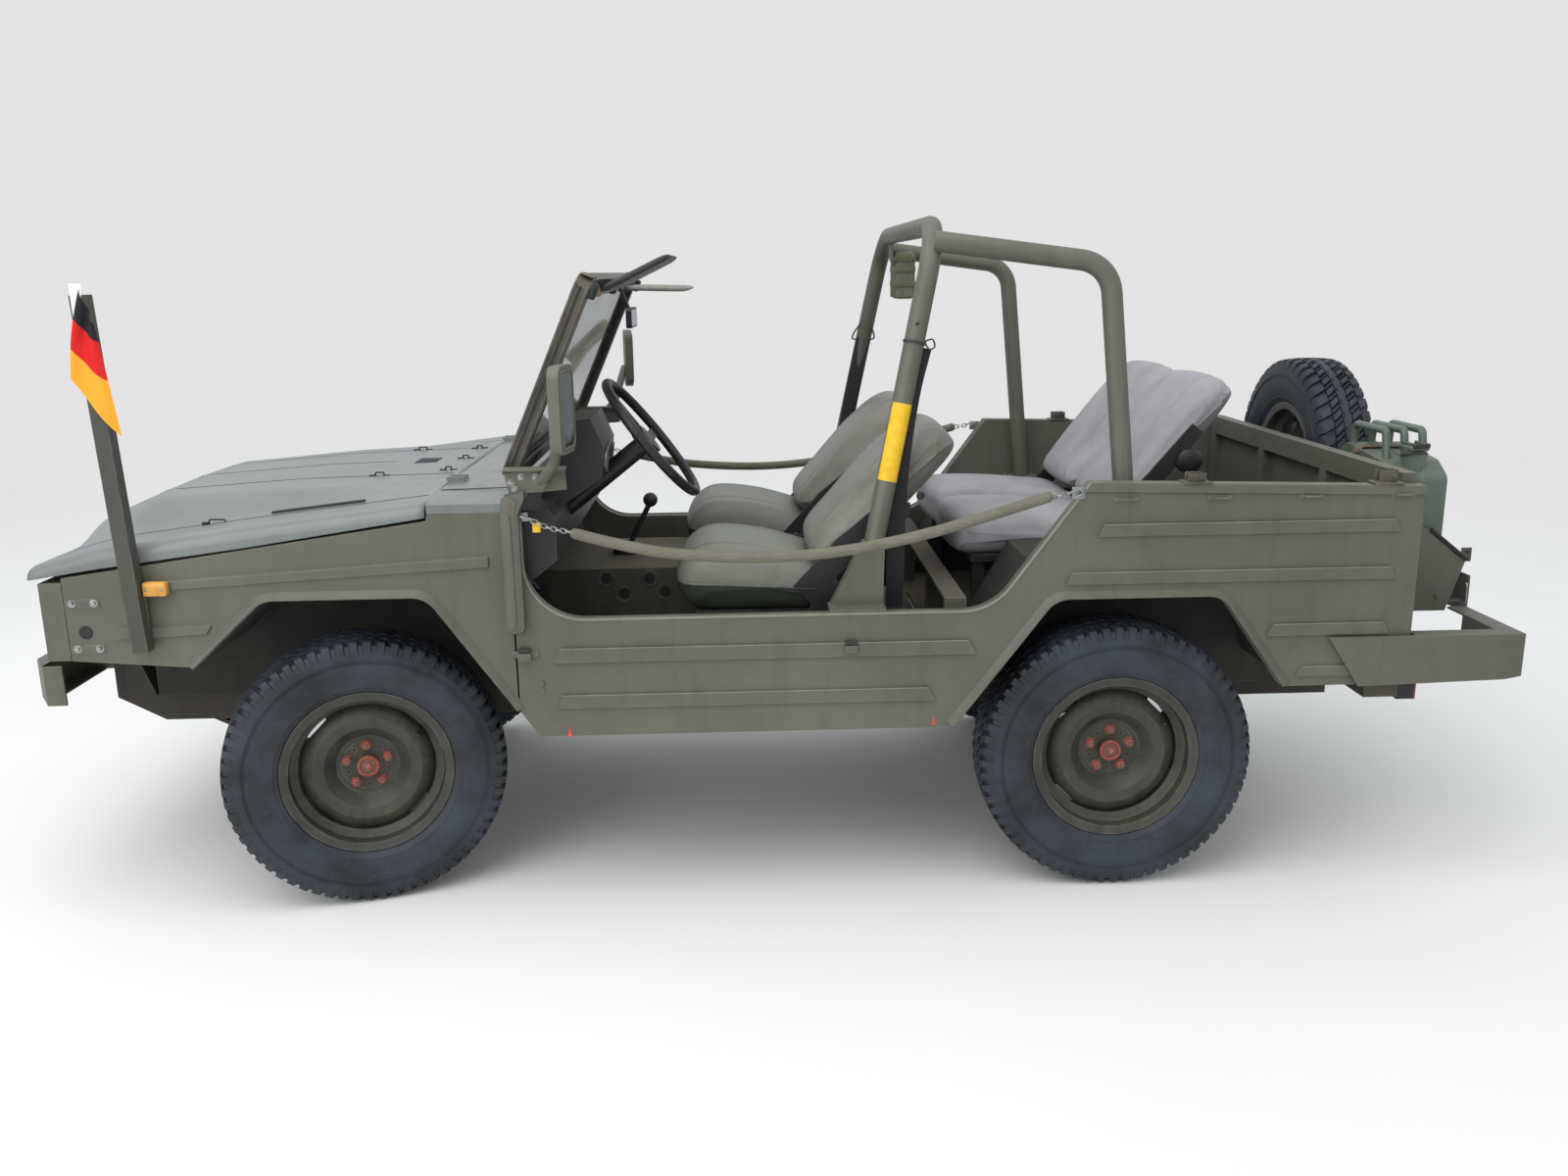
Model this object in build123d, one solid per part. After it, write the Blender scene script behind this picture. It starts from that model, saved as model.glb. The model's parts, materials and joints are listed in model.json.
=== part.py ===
from build123d import *
import math
import os

# An open army 4x4 car. Millimetres: X forward, Y to the car's left, Z up, the ground at Z = 0.

# Axles and wheels
wheelbase = 2017
front_axle_x = 1108.5
rear_axle_x = front_axle_x - wheelbase
front_track = 1230
rear_track = 1260
tyre_radius = 364
tyre_width = 178
tread_width = 150
lug_count = 64
lug_width = 22
lug_length = 25
lug_depth = 12
bead_radius = 203
rim_width = 127
rim_flange = 17
rim_well_depth = 22
dish_radius = 168
nave_radius = 82
nave_thickness = 5
dish_rise = 34
wheel_bolt_circle = 112
wheel_bolt_count = 5
wheel_bolt_hole = 7.25
rim_slot_count = 4
rim_slot_width = 14
drum_radius = 112
drum_depth = 46
spindle_radius = 22
running_fit = 0.05
seat_gap = 0.3

# Steering and suspension
kingpin_y = 530
kingpin_radius = 12
steer_rest = 15
post_radius = 27
lower_arm_z = 272
arm_thickness = 22
upper_arm_z = 476
leaf_thickness = 24
leaf_width = 60
shaft_radius = 16
diff_radius = 92
diff_width = 200

# Body shell
half_width = 742
wall = 40
sill_z = 476
tail_z = 566
body_rear_x = -1650
post_x = 648
cowl_z = 1062
cowl_top_z = 1098
cowl_front_x = 849
rail_front = (-800, 1110)
rail_rear_z = 1087
door_sill_z = 784
door_front_x = 622
door_rear_x = -560
door_rear_top = (-868, 1200)
door_corner = 150
rib_height = 7
floor_z = 500
floor_thickness = 24
rear_floor_z = 620
heel_x = -440
tunnel_half = 150
tunnel_z = 640
gearbox_half = 225
gearbox_z = 800
gearbox_rear_x = 240
sheet = 10

# Front end
nose_x = 1815
fender_seam_x = nose_x - 57
fender_wall = 40
nose_low_z = 707
nose_top_z = 910
inner_wall_y = 318
lamp_y = 545
lamp_z = 808
lamp_radius = 84
slot_count = 14
slot_pitch = 54
slot_width = 22
slot_height = 104

# Bonnet
bonnet_rear_x = 855
bonnet_front_x = nose_x + 35
bonnet_wall = 22
bonnet_edge = half_width
bonnet_corner = 24
bonnet_hinge = (852, 1106)
bonnet_hinge_places = (-430, 430)
bonnet_pin = 3
screen_pin = 5

# Bumpers and frame
bumper_front_x = 1943.5
bumper_rear_x = -1943.5
front_bumper_z = (555, 662)
rear_bumper_z = (576, 698)
rear_bumper_y = half_width + 18
bumper_flange = 52
bumper_sheet = 6
bumper_inner_left = 470
bumper_inner_right = half_width - 36
rail_y = (250, 310)
rail_z = (400, floor_z - floor_thickness - seat_gap)
horn_x = 1870
tow_pin_hole = 15.5

# Windscreen
screen_pivot = (655, 1127)
screen_lean = 24
screen_height = 548
screen_half = half_width - 17
screen_bar = 44
screen_depth = 40
glass_thickness = 5
visor_drop = 27

# Roll bar
tube_radius = 26
hoop_foot = (-262, half_width - 70, 940)
hoop_top = (-428, half_width - 142, 1740)
hoop_bend = 150
stay_bend = 90
stay_foot = (rear_axle_x - 16.5, half_width - 87)
box_top_z = 905

# Tailgate and what it carries
gate_half = half_width - wall - 6
gate_low_z = 605
gate_top_z = 1113
gate_thickness = 38
gate_hinge = (-1652, 598)
gate_pin = 4
spare_y = -335
spare_z = 970
spare_x = -1798
can_width = 345
can_depth = 165
can_height = 410
can_y = 255
can_x = -1795
tub_floor_z = 680

# Seats: centre, widths and leans
front_seat_y = 372
front_seat_width = 440
rear_seat_y = 214
rear_seat_width = 408
back_thickness = 118
front_back_lean = 43
rear_back_lean = 38

# Steering wheel and column
wheel_centre = (313, 380, 1198)
wheel_tilt = 38
wheel_radius = 186
wheel_rim = 13
column_radius = 26


def across(points, y_low, y_high):
    """A flat outline of (x, z) points carried across the car."""
    wire = Polyline(*[(x, y_low, z) for x, z in points], close=True)
    return extrude(make_face(wire), amount=y_high - y_low, dir=(0, 1, 0))


def rounded_across(points, radius, y_low, y_high):
    """The same with each corner of the outline rounded."""
    wire = FilletPolyline(*[(x, y_low, z) for x, z in points], radius=radius, close=True)
    return extrude(make_face(wire), amount=y_high - y_low, dir=(0, 1, 0))


def along(points, x_low, x_high):
    """A flat outline of (y, z) points carried along the car."""
    wire = Polyline(*[(x_low, y, z) for y, z in points], close=True)
    return extrude(make_face(wire), amount=x_high - x_low, dir=(1, 0, 0))


def upward(points, z_low, z_high):
    """A flat outline of (x, y) points carried up."""
    wire = Polyline(*[(x, y, z_low) for x, y in points], close=True)
    return extrude(make_face(wire), amount=z_high - z_low, dir=(0, 0, 1))


def block(x, y, z):
    """A box from its lowest to its highest x, y and z."""
    size = (x[1] - x[0], y[1] - y[0], z[1] - z[0])
    return Pos((x[0] + x[1]) / 2, (y[0] + y[1]) / 2, (z[0] + z[1]) / 2) * Box(*size)


def rod(start, end, radius):
    """A round bar between two points."""
    path = Vector(end) - Vector(start)
    plane = Plane(origin=start, z_dir=path)
    return plane * Cylinder(radius, path.length, align=(Align.CENTER, Align.CENTER, Align.MIN))


def bent_rod(points, bends, radius, bore=0):
    """A round bar or tube along straight runs joined by tangent arcs."""
    path = FilletPolyline(*points, radius=bends)
    section = Plane(origin=path @ 0, z_dir=path % 0) * Circle(radius)
    if bore:
        section -= Plane(origin=path @ 0, z_dir=path % 0) * Circle(bore)
    return sweep(section, path=path)


def mirrored(shape):
    return shape.mirror(Plane.XZ)


def pair(shape):
    return [shape, mirrored(shape)]


def turned(shape, pivot, direction, angle):
    """The shape turned about an axis through the pivot."""
    return shape.rotate(Axis(pivot, direction), angle)


def write(name, shapes):
    solids = []
    for shape in shapes if isinstance(shapes, list) else [shapes]:
        solids += shape.solids()
    whole = solids[0] if len(solids) == 1 else Compound(children=solids)
    export_step(whole, f"parts/{name}.step")


os.makedirs("parts", exist_ok=True)

# Outlines that several pieces share, as (x, z)
front_arch = [(front_axle_x - 548.5, 412), (front_axle_x - 242.5, 851), (front_axle_x + 161.5, 851),
              (front_axle_x + 391.5, 640), (front_axle_x + 391.5, 412)]
rear_arch = [(rear_axle_x + 484.5, 422), (rear_axle_x + 186.5, 812), (rear_axle_x - 239.5, 812),
             (rear_axle_x - 461.5, 500), (rear_axle_x - 461.5, 422)]
arch_radius = 70

# Side panels, from the front door post to the tail
opening = rounded_across(
    [(door_front_x, 1300), (door_front_x, door_sill_z), (door_rear_x, door_sill_z), door_rear_top, (-868, 1300)],
    [1, door_corner, door_corner, 1, 1], 0, half_width + 50)
side = across([(601, sill_z), (post_x, 544), (post_x, cowl_z), rail_front, (body_rear_x, rail_rear_z),
               (body_rear_x, tail_z), (-1324, tail_z), (-424, sill_z)], half_width - wall, half_width)
side -= opening
side -= rounded_across(rear_arch, [1, arch_radius, arch_radius, 1, 1], 0, half_width + 50)
# Pressed ribs: rear end, front end, lower edge, height
ribs = [
    (-1596, -822, 973, 30),
    (-1592, -745, 850, 30),
    (-1588, -1270, 704, 30),
    (-1588, -1354, 593, 26),
    (-519, 556, 674, 36),
    (-416, 554, 552, 34),
]
for rear, front, low, height in ribs:
    rib = across([(rear, low), (front, low), (front - height / 2, low + height), (rear + height / 2, low + height)],
                 half_width, half_width + rib_height)
    side += rib
rail_flange = across([(rail_front[0] - 4, rail_front[1]), (body_rear_x, rail_rear_z), (body_rear_x, rail_rear_z - 22),
                      (rail_front[0] + 14, rail_front[1] - 22)], half_width - wall, half_width + 6)
side += rail_flange
write("side_panels", pair(side))

# Front fenders with their liners and the walls of the engine bay
fender = across([(post_x + 4, 552), (post_x + 4, cowl_z - seat_gap), (cowl_front_x, cowl_z - seat_gap), (853, 1044),
                 (1381, 969), (fender_seam_x - 1, 918), (fender_seam_x - 1, nose_low_z - 2), (1454, 681)],
                half_width - fender_wall, half_width)
fender -= rounded_across(front_arch, [1, arch_radius, arch_radius, 1, 1], 0, half_width + 50)
fender += across([(704, 926), (1571, 880), (1571, 902), (704, 953)], half_width, half_width + rib_height)
fender += across([(1415, 768), (1634, 760), (1634, 786), (1400, 792)], half_width, half_width + rib_height)
fender += across([(1440, 900), (1756, 893), (1756, 917), (1381, 958)], half_width - 90, half_width - fender_wall)
write("front_fenders", pair(fender))

liner = across([(636, 545), (648, 562), (857, 861), (1279, 861), (1462, 692), (1454, 681), (1270, 851), (866, 851),
                (642, 540)], inner_wall_y, half_width - fender_wall - seat_gap)
bay_wall = across([(655, rail_z[1] + seat_gap), (655, 545), (852, 840), (852, 1040), (1600, 930), (1745, 905),
                   (1745, rail_z[1] + seat_gap)], inner_wall_y, inner_wall_y + sheet)
leaf_slot = block((front_axle_x - leaf_width / 2 - 12, front_axle_x + leaf_width / 2 + 12),
                  (0, 600), (rail_z[1], upper_arm_z + leaf_thickness + 60))
liner += bay_wall - leaf_slot
# Boxes over the rear wheels, open below and to the outside
box_inner_y = half_width - 312
box_outer = across([(-470, rear_floor_z - 40), (-660, box_top_z), (-1210, box_top_z), (-1350, rear_floor_z - 40)],
                   box_inner_y, half_width - wall - seat_gap)
box_inner = across([(-478, rear_floor_z - 60), (-668, box_top_z - sheet), (-1202, box_top_z - sheet),
                    (-1338, rear_floor_z - 60)], box_inner_y + sheet, half_width)
wheel_box = box_outer - box_inner
write("wheel_boxes", pair(liner) + pair(wheel_box))

# Floor with its tunnel, toe board, heel board and rear cross panel
inner_half = half_width - wall - seat_gap
floor_low = floor_z - floor_thickness
toe_inner_y = half_width - fender_wall - seat_gap
hollow = across([(heel_x - 20, 0), (heel_x - 20, tunnel_z - sheet), (gearbox_rear_x - 60, tunnel_z - sheet),
                 (gearbox_rear_x - 60, 0)], sheet - tunnel_half, tunnel_half - sheet)
hollow += across([(gearbox_rear_x - 62, 0), (gearbox_rear_x - 62, floor_z), (gearbox_rear_x + 8, gearbox_z - sheet),
                  (900, gearbox_z - sheet), (900, 0)], sheet - gearbox_half, gearbox_half - sheet)
floor = block((heel_x + seat_gap, 585), (-inner_half, inner_half), (floor_low, floor_z)) - hollow
toe_board = across([(592, floor_low), (640, 552), (828, 830), (828, cowl_z - seat_gap),
                    (840, cowl_z - seat_gap), (840, 826), (650, 546), (604, floor_low)], 1 - inner_wall_y, inner_wall_y - 1)
for toe in pair(across([(585 + seat_gap, floor_low), (625, 545), (845, 872), (832, 872), (832, cowl_z - seat_gap),
                        (816, cowl_z - seat_gap), (816, 850), (585 + seat_gap, 510)], inner_wall_y - 4, toe_inner_y)):
    toe_board += toe
toe_board -= hollow
cover_low = floor_z + seat_gap
tunnel = across([(heel_x, cover_low), (heel_x, tunnel_z), (gearbox_rear_x - 60, tunnel_z + 20),
                 (gearbox_rear_x, floor_z + 60), (gearbox_rear_x, cover_low)], -tunnel_half, tunnel_half)
gearbox_cover = across([(gearbox_rear_x - 70, cover_low), (gearbox_rear_x, gearbox_z), (805, gearbox_z), (604, cover_low)],
                       -gearbox_half, gearbox_half)
cover = tunnel + gearbox_cover - hollow
rear_floor = block((-1600, heel_x), (-inner_half, inner_half), (rear_floor_z - 20, rear_floor_z))
for well in pair(block((-1352, -468), (box_inner_y - 2, half_width), (rear_floor_z - 80, rear_floor_z + 80))):
    rear_floor -= well
rear_floor += block((heel_x - sheet, heel_x), (-inner_half, inner_half), (floor_low, rear_floor_z))
rear_floor -= block((heel_x - 20, heel_x + 1), (sheet - tunnel_half, tunnel_half - sheet), (0, tunnel_z - sheet))
rear_floor += block((body_rear_x, -1600), (-inner_half, inner_half), (sill_z + 40, 582))
rear_floor += block((-1604, -1560), (-inner_half, inner_half), (sill_z + 40, rear_floor_z - 18))
hinge_x, hinge_z = gate_hinge
gate_hinge_places = (-420, 420)
for y in gate_hinge_places:
    for side_sign in (-1, 1):
        ear_y = sorted((y + side_sign * 34, y + side_sign * 44))
        rear_floor += rod((hinge_x, ear_y[0], hinge_z), (hinge_x, ear_y[1], hinge_z), gate_pin + 2.5)
        rear_floor += block((hinge_x - 5, body_rear_x + 2), ear_y, (hinge_z - 36, hinge_z))
    rear_floor += rod((hinge_x, y - 44, hinge_z), (hinge_x, y + 44, hinge_z), gate_pin)
cross_channel = block((-500, -444), (-inner_half, inner_half), (772, 812)) - block(
    (-490, -430), (-inner_half + 20, inner_half - 20), (760, 802))
for leg in pair(block((-500, -450), (300, 330), (rear_floor_z + seat_gap, 774))):
    cross_channel += leg
write("floor_pan", [floor, toe_board, cover, rear_floor, cross_channel])

# Front panel with the lamp holes and the grille slots
panel_outline = [(fender_seam_x, half_width), (nose_x, half_width), (nose_x, -half_width), (fender_seam_x, -half_width),
                 (fender_seam_x, -half_width + fender_wall), (nose_x - 26, -half_width + fender_wall),
                 (nose_x - 26, half_width - fender_wall), (fender_seam_x, half_width - fender_wall)]
nose = upward(panel_outline, nose_low_z - 1, nose_top_z - 4)
for lamp_hole in pair(rod((nose_x - 60, lamp_y, lamp_z), (nose_x + 10, lamp_y, lamp_z), lamp_radius + 4)):
    nose -= lamp_hole
for n in range(slot_count):
    y = (n - (slot_count - 1) / 2) * slot_pitch
    nose -= block((nose_x - 60, nose_x + 10), (y - slot_width / 2, y + slot_width / 2),
                  (lamp_z - slot_height / 2, lamp_z + slot_height / 2))
write("front_panel", nose)

# Lamps: front, side indicators and rear
head = Plane(origin=(nose_x - 52, lamp_y, lamp_z), z_dir=(1, 0, 0)) * Cylinder(
    lamp_radius, 56, align=(Align.CENTER, Align.CENTER, Align.MIN))
head = fillet(head.edges().filter_by(GeomType.CIRCLE).sort_by(Axis.X)[-1], 18)
head_mount = block((nose_x - 72, nose_x - 52), (lamp_y - 100, half_width - fender_wall - seat_gap),
                   (lamp_z - 20, lamp_z + 20))
side_lamp = block((1492, 1546), (half_width + rib_height + seat_gap, half_width + rib_height + 24), (876, 908))
tail_lamp = block((body_rear_x - 50, body_rear_x - seat_gap), (half_width - 132, half_width - 42), (508, 568))
write("lamps", pair(head + head_mount) + pair(side_lamp) + pair(tail_lamp))

# Cowl between the bonnet and the windscreen, with the hinge cheeks of the screen
cowl = along([(-half_width, cowl_z), (-half_width, 1085), (42 - half_width, 1093), (-300, cowl_top_z),
              (300, cowl_top_z), (half_width - 42, 1093), (half_width, 1085), (half_width, cowl_z)],
             post_x + 4, cowl_front_x)
pivot_x, pivot_z = screen_pivot
for side_sign in (-1, 1):
    for offset in (-24, 24):
        y = side_sign * 560 + offset
        cowl += block((pivot_x - 3, pivot_x + 8), (y - 6, y + 6), (cowl_top_z - 20, pivot_z))
        cowl += rod((pivot_x, y - 6, pivot_z), (pivot_x, y + 6, pivot_z), 8.5)
    cowl += rod((pivot_x, side_sign * 560 - 30, pivot_z), (pivot_x, side_sign * 560 + 30, pivot_z), screen_pin)
bonnet_hinge_x, bonnet_hinge_z = bonnet_hinge
for y in bonnet_hinge_places:
    for offset in (-22, 22):
        cowl += rod((bonnet_hinge_x, y + offset - 5, bonnet_hinge_z), (bonnet_hinge_x, y + offset + 5, bonnet_hinge_z), 6)
        cowl += block((cowl_front_x - 40, bonnet_hinge_x), (y + offset - 5, y + offset + 5),
                      (cowl_top_z - 10, bonnet_hinge_z + 4))
    cowl += rod((bonnet_hinge_x, y - 27, bonnet_hinge_z), (bonnet_hinge_x, y + 27, bonnet_hinge_z), bonnet_pin)
write("cowl", cowl)

# Bonnet: crown, side valleys and a turned-down skirt, by sections along X
# Columns: x, height at the centre, at the side, half width of the crown, of the valley, skirt's lower edge
bonnet_sections = [
    (bonnet_rear_x, 1099, 1091, 420, 600, 1052),
    (1300, 1088, 1040, 370, 560, 986),
    (1680, 1062, 992, 330, 520, 938),
    (bonnet_front_x, 990, 948, 300, 500, 912),
]


def bonnet_wire(x, centre, edge, crown, valley, low, inset=0):
    half = bonnet_edge - inset
    corner = bonnet_corner
    outline = [(half, low - 3 * inset), (half, edge - corner - inset), (half - corner, edge - inset),
               (valley, edge - inset + 2), (crown, centre - inset - 6), (0, centre - inset)]
    outline += [(-y, z) for y, z in reversed(outline[:-1])]
    return make_face(Polyline(*[(x, y, z) for y, z in outline], close=True))


bonnet_outer = loft([bonnet_wire(*row) for row in bonnet_sections], ruled=True)
inner_rows = [(x + (6 if n == 0 else -26 if n == 3 else 0), *rest) for n, (x, *rest) in enumerate(bonnet_sections)]
bonnet_inner = loft([bonnet_wire(*row, inset=bonnet_wall) for row in inner_rows], ruled=True)
bonnet = bonnet_outer - bonnet_inner
for y in bonnet_hinge_places:
    bonnet += rod((bonnet_hinge_x, y - 16, bonnet_hinge_z), (bonnet_hinge_x, y + 16, bonnet_hinge_z), 6)
    bonnet += block((bonnet_hinge_x, bonnet_rear_x + 40), (y - 16, y + 16), (1088, bonnet_hinge_z + 4))
    bonnet -= rod((bonnet_hinge_x, y - 20, bonnet_hinge_z), (bonnet_hinge_x, y + 20, bonnet_hinge_z),
                  bonnet_pin + running_fit)
write("bonnet", bonnet)

# Front bumper: a channel with swept ends on two frame horns
bumper_low, bumper_high = front_bumper_z
plan = [(bumper_front_x, 560), (1889, 640), (1840, 640)]
outer_plan = plan + [(x, -y) for x, y in reversed(plan)]
inner_plan = [(bumper_front_x - bumper_sheet, 556), (1886, 632), (1830, 632)]
inner_plan += [(x, -y) for x, y in reversed(inner_plan)]
bumper = upward(outer_plan, bumper_low, bumper_high) - upward(inner_plan, bumper_low + bumper_sheet,
                                                             bumper_high - bumper_sheet)
bumper -= block((1700, bumper_front_x - bumper_flange), (-632, 632), (bumper_low - 5, bumper_high + 5))
for horn_y in (-280, 280):
    bumper += block((horn_x, bumper_front_x - bumper_sheet), (horn_y - 30, horn_y + 30), (bumper_low + 2, 640))
write("front_bumper", bumper)

# Frame rails, cross members, the guard under the front and the rear towing jaw
horn_back = horn_x - seat_gap
frame = across([(horn_back, 470), (horn_back, 640), (1820, 640), (1760, rail_z[1]), (-1640, rail_z[1]),
                (-1640, rail_z[0]), (1740, rail_z[0])], *rail_y)
frame += mirrored(frame)
for x in (front_axle_x + 531.5, 560, rear_axle_x + 488.5, rear_axle_x - 211.5):
    frame += block((x - 30, x + 30), (-rail_y[1], rail_y[1]), (rail_z[0] + 8, rail_z[1]))
frame += across([(horn_back, 500), (horn_back, 512), (1500, 330), (1380, 330), (1380, 318), (1505, 318)], -252, 252)
for strut_y in (-240, 210):
    frame += across([(1500, 318), (1560, 360), (1560, rail_z[1]), (1500, rail_z[1])], strut_y, strut_y + 30)
frame += block((-1640, -1600), (-rail_y[1], rail_y[1]), rail_z)
jaw = across([(-1640, 410), (-1690, 420), (-1745, 420), (-1745, 434), (-1690, 434), (-1690, 452), (-1745, 452),
              (-1745, 466), (-1690, 466), (-1640, 474)], -34, 34)
jaw -= rod((-1722, 0, 400), (-1722, 0, 480), tow_pin_hole)
frame += jaw
write("chassis_frame", frame)

# Rear bumper corners: a sheet channel with a turned-in top flange
rear_low, rear_high = rear_bumper_z


def rear_corner(inner_y):
    outer = across([(-1430, rear_high), (bumper_rear_x, rear_high), (bumper_rear_x, rear_low + 8), (-1900, rear_low),
                    (-1516, rear_low - 10)], half_width + rib_height + 1, rear_bumper_y)
    flange_side = across([(-1660, rear_high - bumper_sheet), (-1660, rear_high), (bumper_rear_x, rear_high),
                          (bumper_rear_x, rear_high - bumper_sheet)], rear_bumper_y - bumper_flange, rear_bumper_y)
    rear_wall = block((bumper_rear_x, bumper_rear_x + bumper_sheet), (inner_y, rear_bumper_y), (rear_low + 8, rear_high))
    flange_rear = block((bumper_rear_x, bumper_rear_x + bumper_flange), (inner_y, rear_bumper_y),
                        (rear_high - bumper_sheet, rear_high))
    low_side = block((-1900, -1655), (rear_bumper_y - 30, rear_bumper_y - 8), (rear_low, rear_low + bumper_sheet))
    stay = block((bumper_rear_x + 2, body_rear_x - seat_gap), (706, 718), (590, rear_high - 2))
    return outer + flange_side + rear_wall + flange_rear + low_side + stay


write("rear_bumpers", [rear_corner(bumper_inner_left), mirrored(rear_corner(bumper_inner_right))])

# Engine and gearbox, as plain blocks
engine = block((1190, 1640), (-200, 200), (rail_z[1] + seat_gap, 890))
engine += block((1030, 1200), (-140, 140), (512, 640))
engine += block((300, 1040), (-130, 130), (rail_z[1] + seat_gap, 620))
write("engine_block", engine)

# Front suspension: differential, half shafts, lower arms and a transverse leaf spring

def arm(axle_x):
    eye_ring = rod((axle_x, kingpin_y, lower_arm_z), (axle_x, kingpin_y, lower_arm_z + arm_thickness), 30)
    plate = upward([(axle_x - 130, 246), (axle_x + 130, 246), (axle_x + 130, 276), (axle_x + 30, 530),
                    (axle_x + 24, kingpin_y), (axle_x - 24, kingpin_y), (axle_x - 30, 530), (axle_x - 130, 276)],
                   lower_arm_z, lower_arm_z + arm_thickness)
    window = upward([(axle_x - 92, 280), (axle_x + 92, 280), (axle_x + 24, 470), (axle_x - 24, 470)],
                    lower_arm_z - 1, lower_arm_z + arm_thickness + 1)
    hangers = Compound(children=[block((axle_x + s * 112 - 14, axle_x + s * 112 + 14), (252, 272),
                                       (lower_arm_z + arm_thickness - 2, rail_z[0] - seat_gap)) for s in (-1, 1)])
    return plate + eye_ring - window + hangers.solids()[0] + hangers.solids()[1]


def axle(axle_x, steered):
    core = rod((axle_x, -diff_width / 2, tyre_radius), (axle_x, diff_width / 2, tyre_radius), diff_radius)
    core = chamfer(core.edges().filter_by(GeomType.CIRCLE), 22)
    core += block((axle_x - 190, axle_x - 60), (-50, 50), (tyre_radius - 45, tyre_radius + 35))
    leaf = block((axle_x - leaf_width / 2, axle_x + leaf_width / 2), (-kingpin_y, kingpin_y),
                 (upper_arm_z, upper_arm_z + leaf_thickness))
    saddle = block((axle_x - 60, axle_x + 60), (-45, 45), (tyre_radius + 60, upper_arm_z + 2))
    solid = core + leaf + saddle
    for s in (-1, 1):
        solid += rod((axle_x, s * kingpin_y, upper_arm_z), (axle_x, s * kingpin_y, upper_arm_z + leaf_thickness), 30)
        reach = kingpin_y - post_radius - 6 if steered else kingpin_y
        solid += rod((axle_x, s * 80, tyre_radius), (axle_x, s * reach, tyre_radius), shaft_radius)
    pieces = [solid]
    for part_arm in pair(arm(axle_x)):
        pieces.append(part_arm)
    bores = [rod((axle_x, s * kingpin_y, 200), (axle_x, s * kingpin_y, 600), kingpin_radius + running_fit)
             for s in (-1, 1)]
    if steered:
        pieces = [piece - bores[0] - bores[1] for piece in pieces]
    return pieces


write("front_suspension", axle(front_axle_x, True))


def upright(axle_x, track, outer_pins):
    """The post between the arms, with the stub on which the wheel turns, for the left side."""
    low = lower_arm_z + arm_thickness + seat_gap
    high = upper_arm_z - seat_gap
    post = rod((axle_x, kingpin_y, low), (axle_x, kingpin_y, high), post_radius)
    if outer_pins:
        post += rod((axle_x, kingpin_y, lower_arm_z + 2), (axle_x, kingpin_y, upper_arm_z + leaf_thickness - 2),
                    kingpin_radius)
    stub_face = track / 2 - drum_depth - 2
    post += rod((axle_x, kingpin_y, tyre_radius), (axle_x, stub_face, tyre_radius), 44)
    post += rod((axle_x, kingpin_y, tyre_radius), (axle_x, track / 2 + 12, tyre_radius), spindle_radius)
    return post


rear_pieces = axle(rear_axle_x, False)
rear_solid = rear_pieces[0]
for part_arm in rear_pieces[1:]:
    rear_solid += part_arm
for s in (-1, 1):
    rear_solid += rod((rear_axle_x, s * kingpin_y, lower_arm_z + 4), (rear_axle_x, s * kingpin_y, upper_arm_z + 4), 27)
rear_upright = upright(rear_axle_x, rear_track, False)
rear_solid += rear_upright
rear_solid += mirrored(rear_upright)
write("rear_suspension", rear_solid)

knuckle = upright(front_axle_x, front_track, True)
steer_arm = block((front_axle_x - 120, front_axle_x - 10), (kingpin_y - 14, kingpin_y + 6), (330, 350))
knuckle += steer_arm
write("knuckle_left", turned(knuckle, (front_axle_x, kingpin_y, 0), (0, 0, 1), steer_rest))
write("knuckle_right", turned(mirrored(knuckle), (front_axle_x, -kingpin_y, 0), (0, 0, 1), steer_rest))


# A wheel about the Y axis, with its outer face toward +Y
def wheel_turn(points, arc=360):
    """A solid of revolution from an outline of (distance from the wheel's plane, radius)."""
    wire = Polyline(*[(r, y, 0) for y, r in points], close=True)
    return revolve(make_face(wire), Axis.Y, revolution_arc=arc)


def tyre():
    """The casing with a smooth crown, and a row of lugs fused to each shoulder."""
    half = tyre_width / 2
    tread = tread_width / 2
    crown = tread - lug_length
    floor = tyre_radius - lug_depth
    seat = bead_radius + 1
    bead = rim_width / 2 - 7
    left = [(crown, tyre_radius), (crown, floor), (tread - 3, floor - 2), (tread + 2, floor - 18), (half - 3, floor - 34),
            (half, 290), (half - 4, 258), (bead + 10, bead_radius + rim_flange + 2), (bead, bead_radius + rim_flange),
            (bead, seat), (bead - 12, seat), (bead - 12, 250), (half - 12, 270), (half - 12, 300),
            (tread - 6, tyre_radius - 26)]
    right = [(-y, r) for y, r in reversed(left)]
    casing = wheel_turn(left + right)
    tip = tyre_radius - 0.5
    lug = wheel_turn([(crown - 3, tip), (tread, tip), (half - 2.8, floor - 36), (tread - 2, floor - 30),
                      (crown - 3, floor - 3)], math.degrees(lug_width / tyre_radius))
    lugs = []
    for n in range(lug_count):
        placed = turned(lug, (0, 0, 0), (0, 1, 0), n * 360 / lug_count)
        lugs += [placed, mirrored(placed)]
    return casing + lugs


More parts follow.
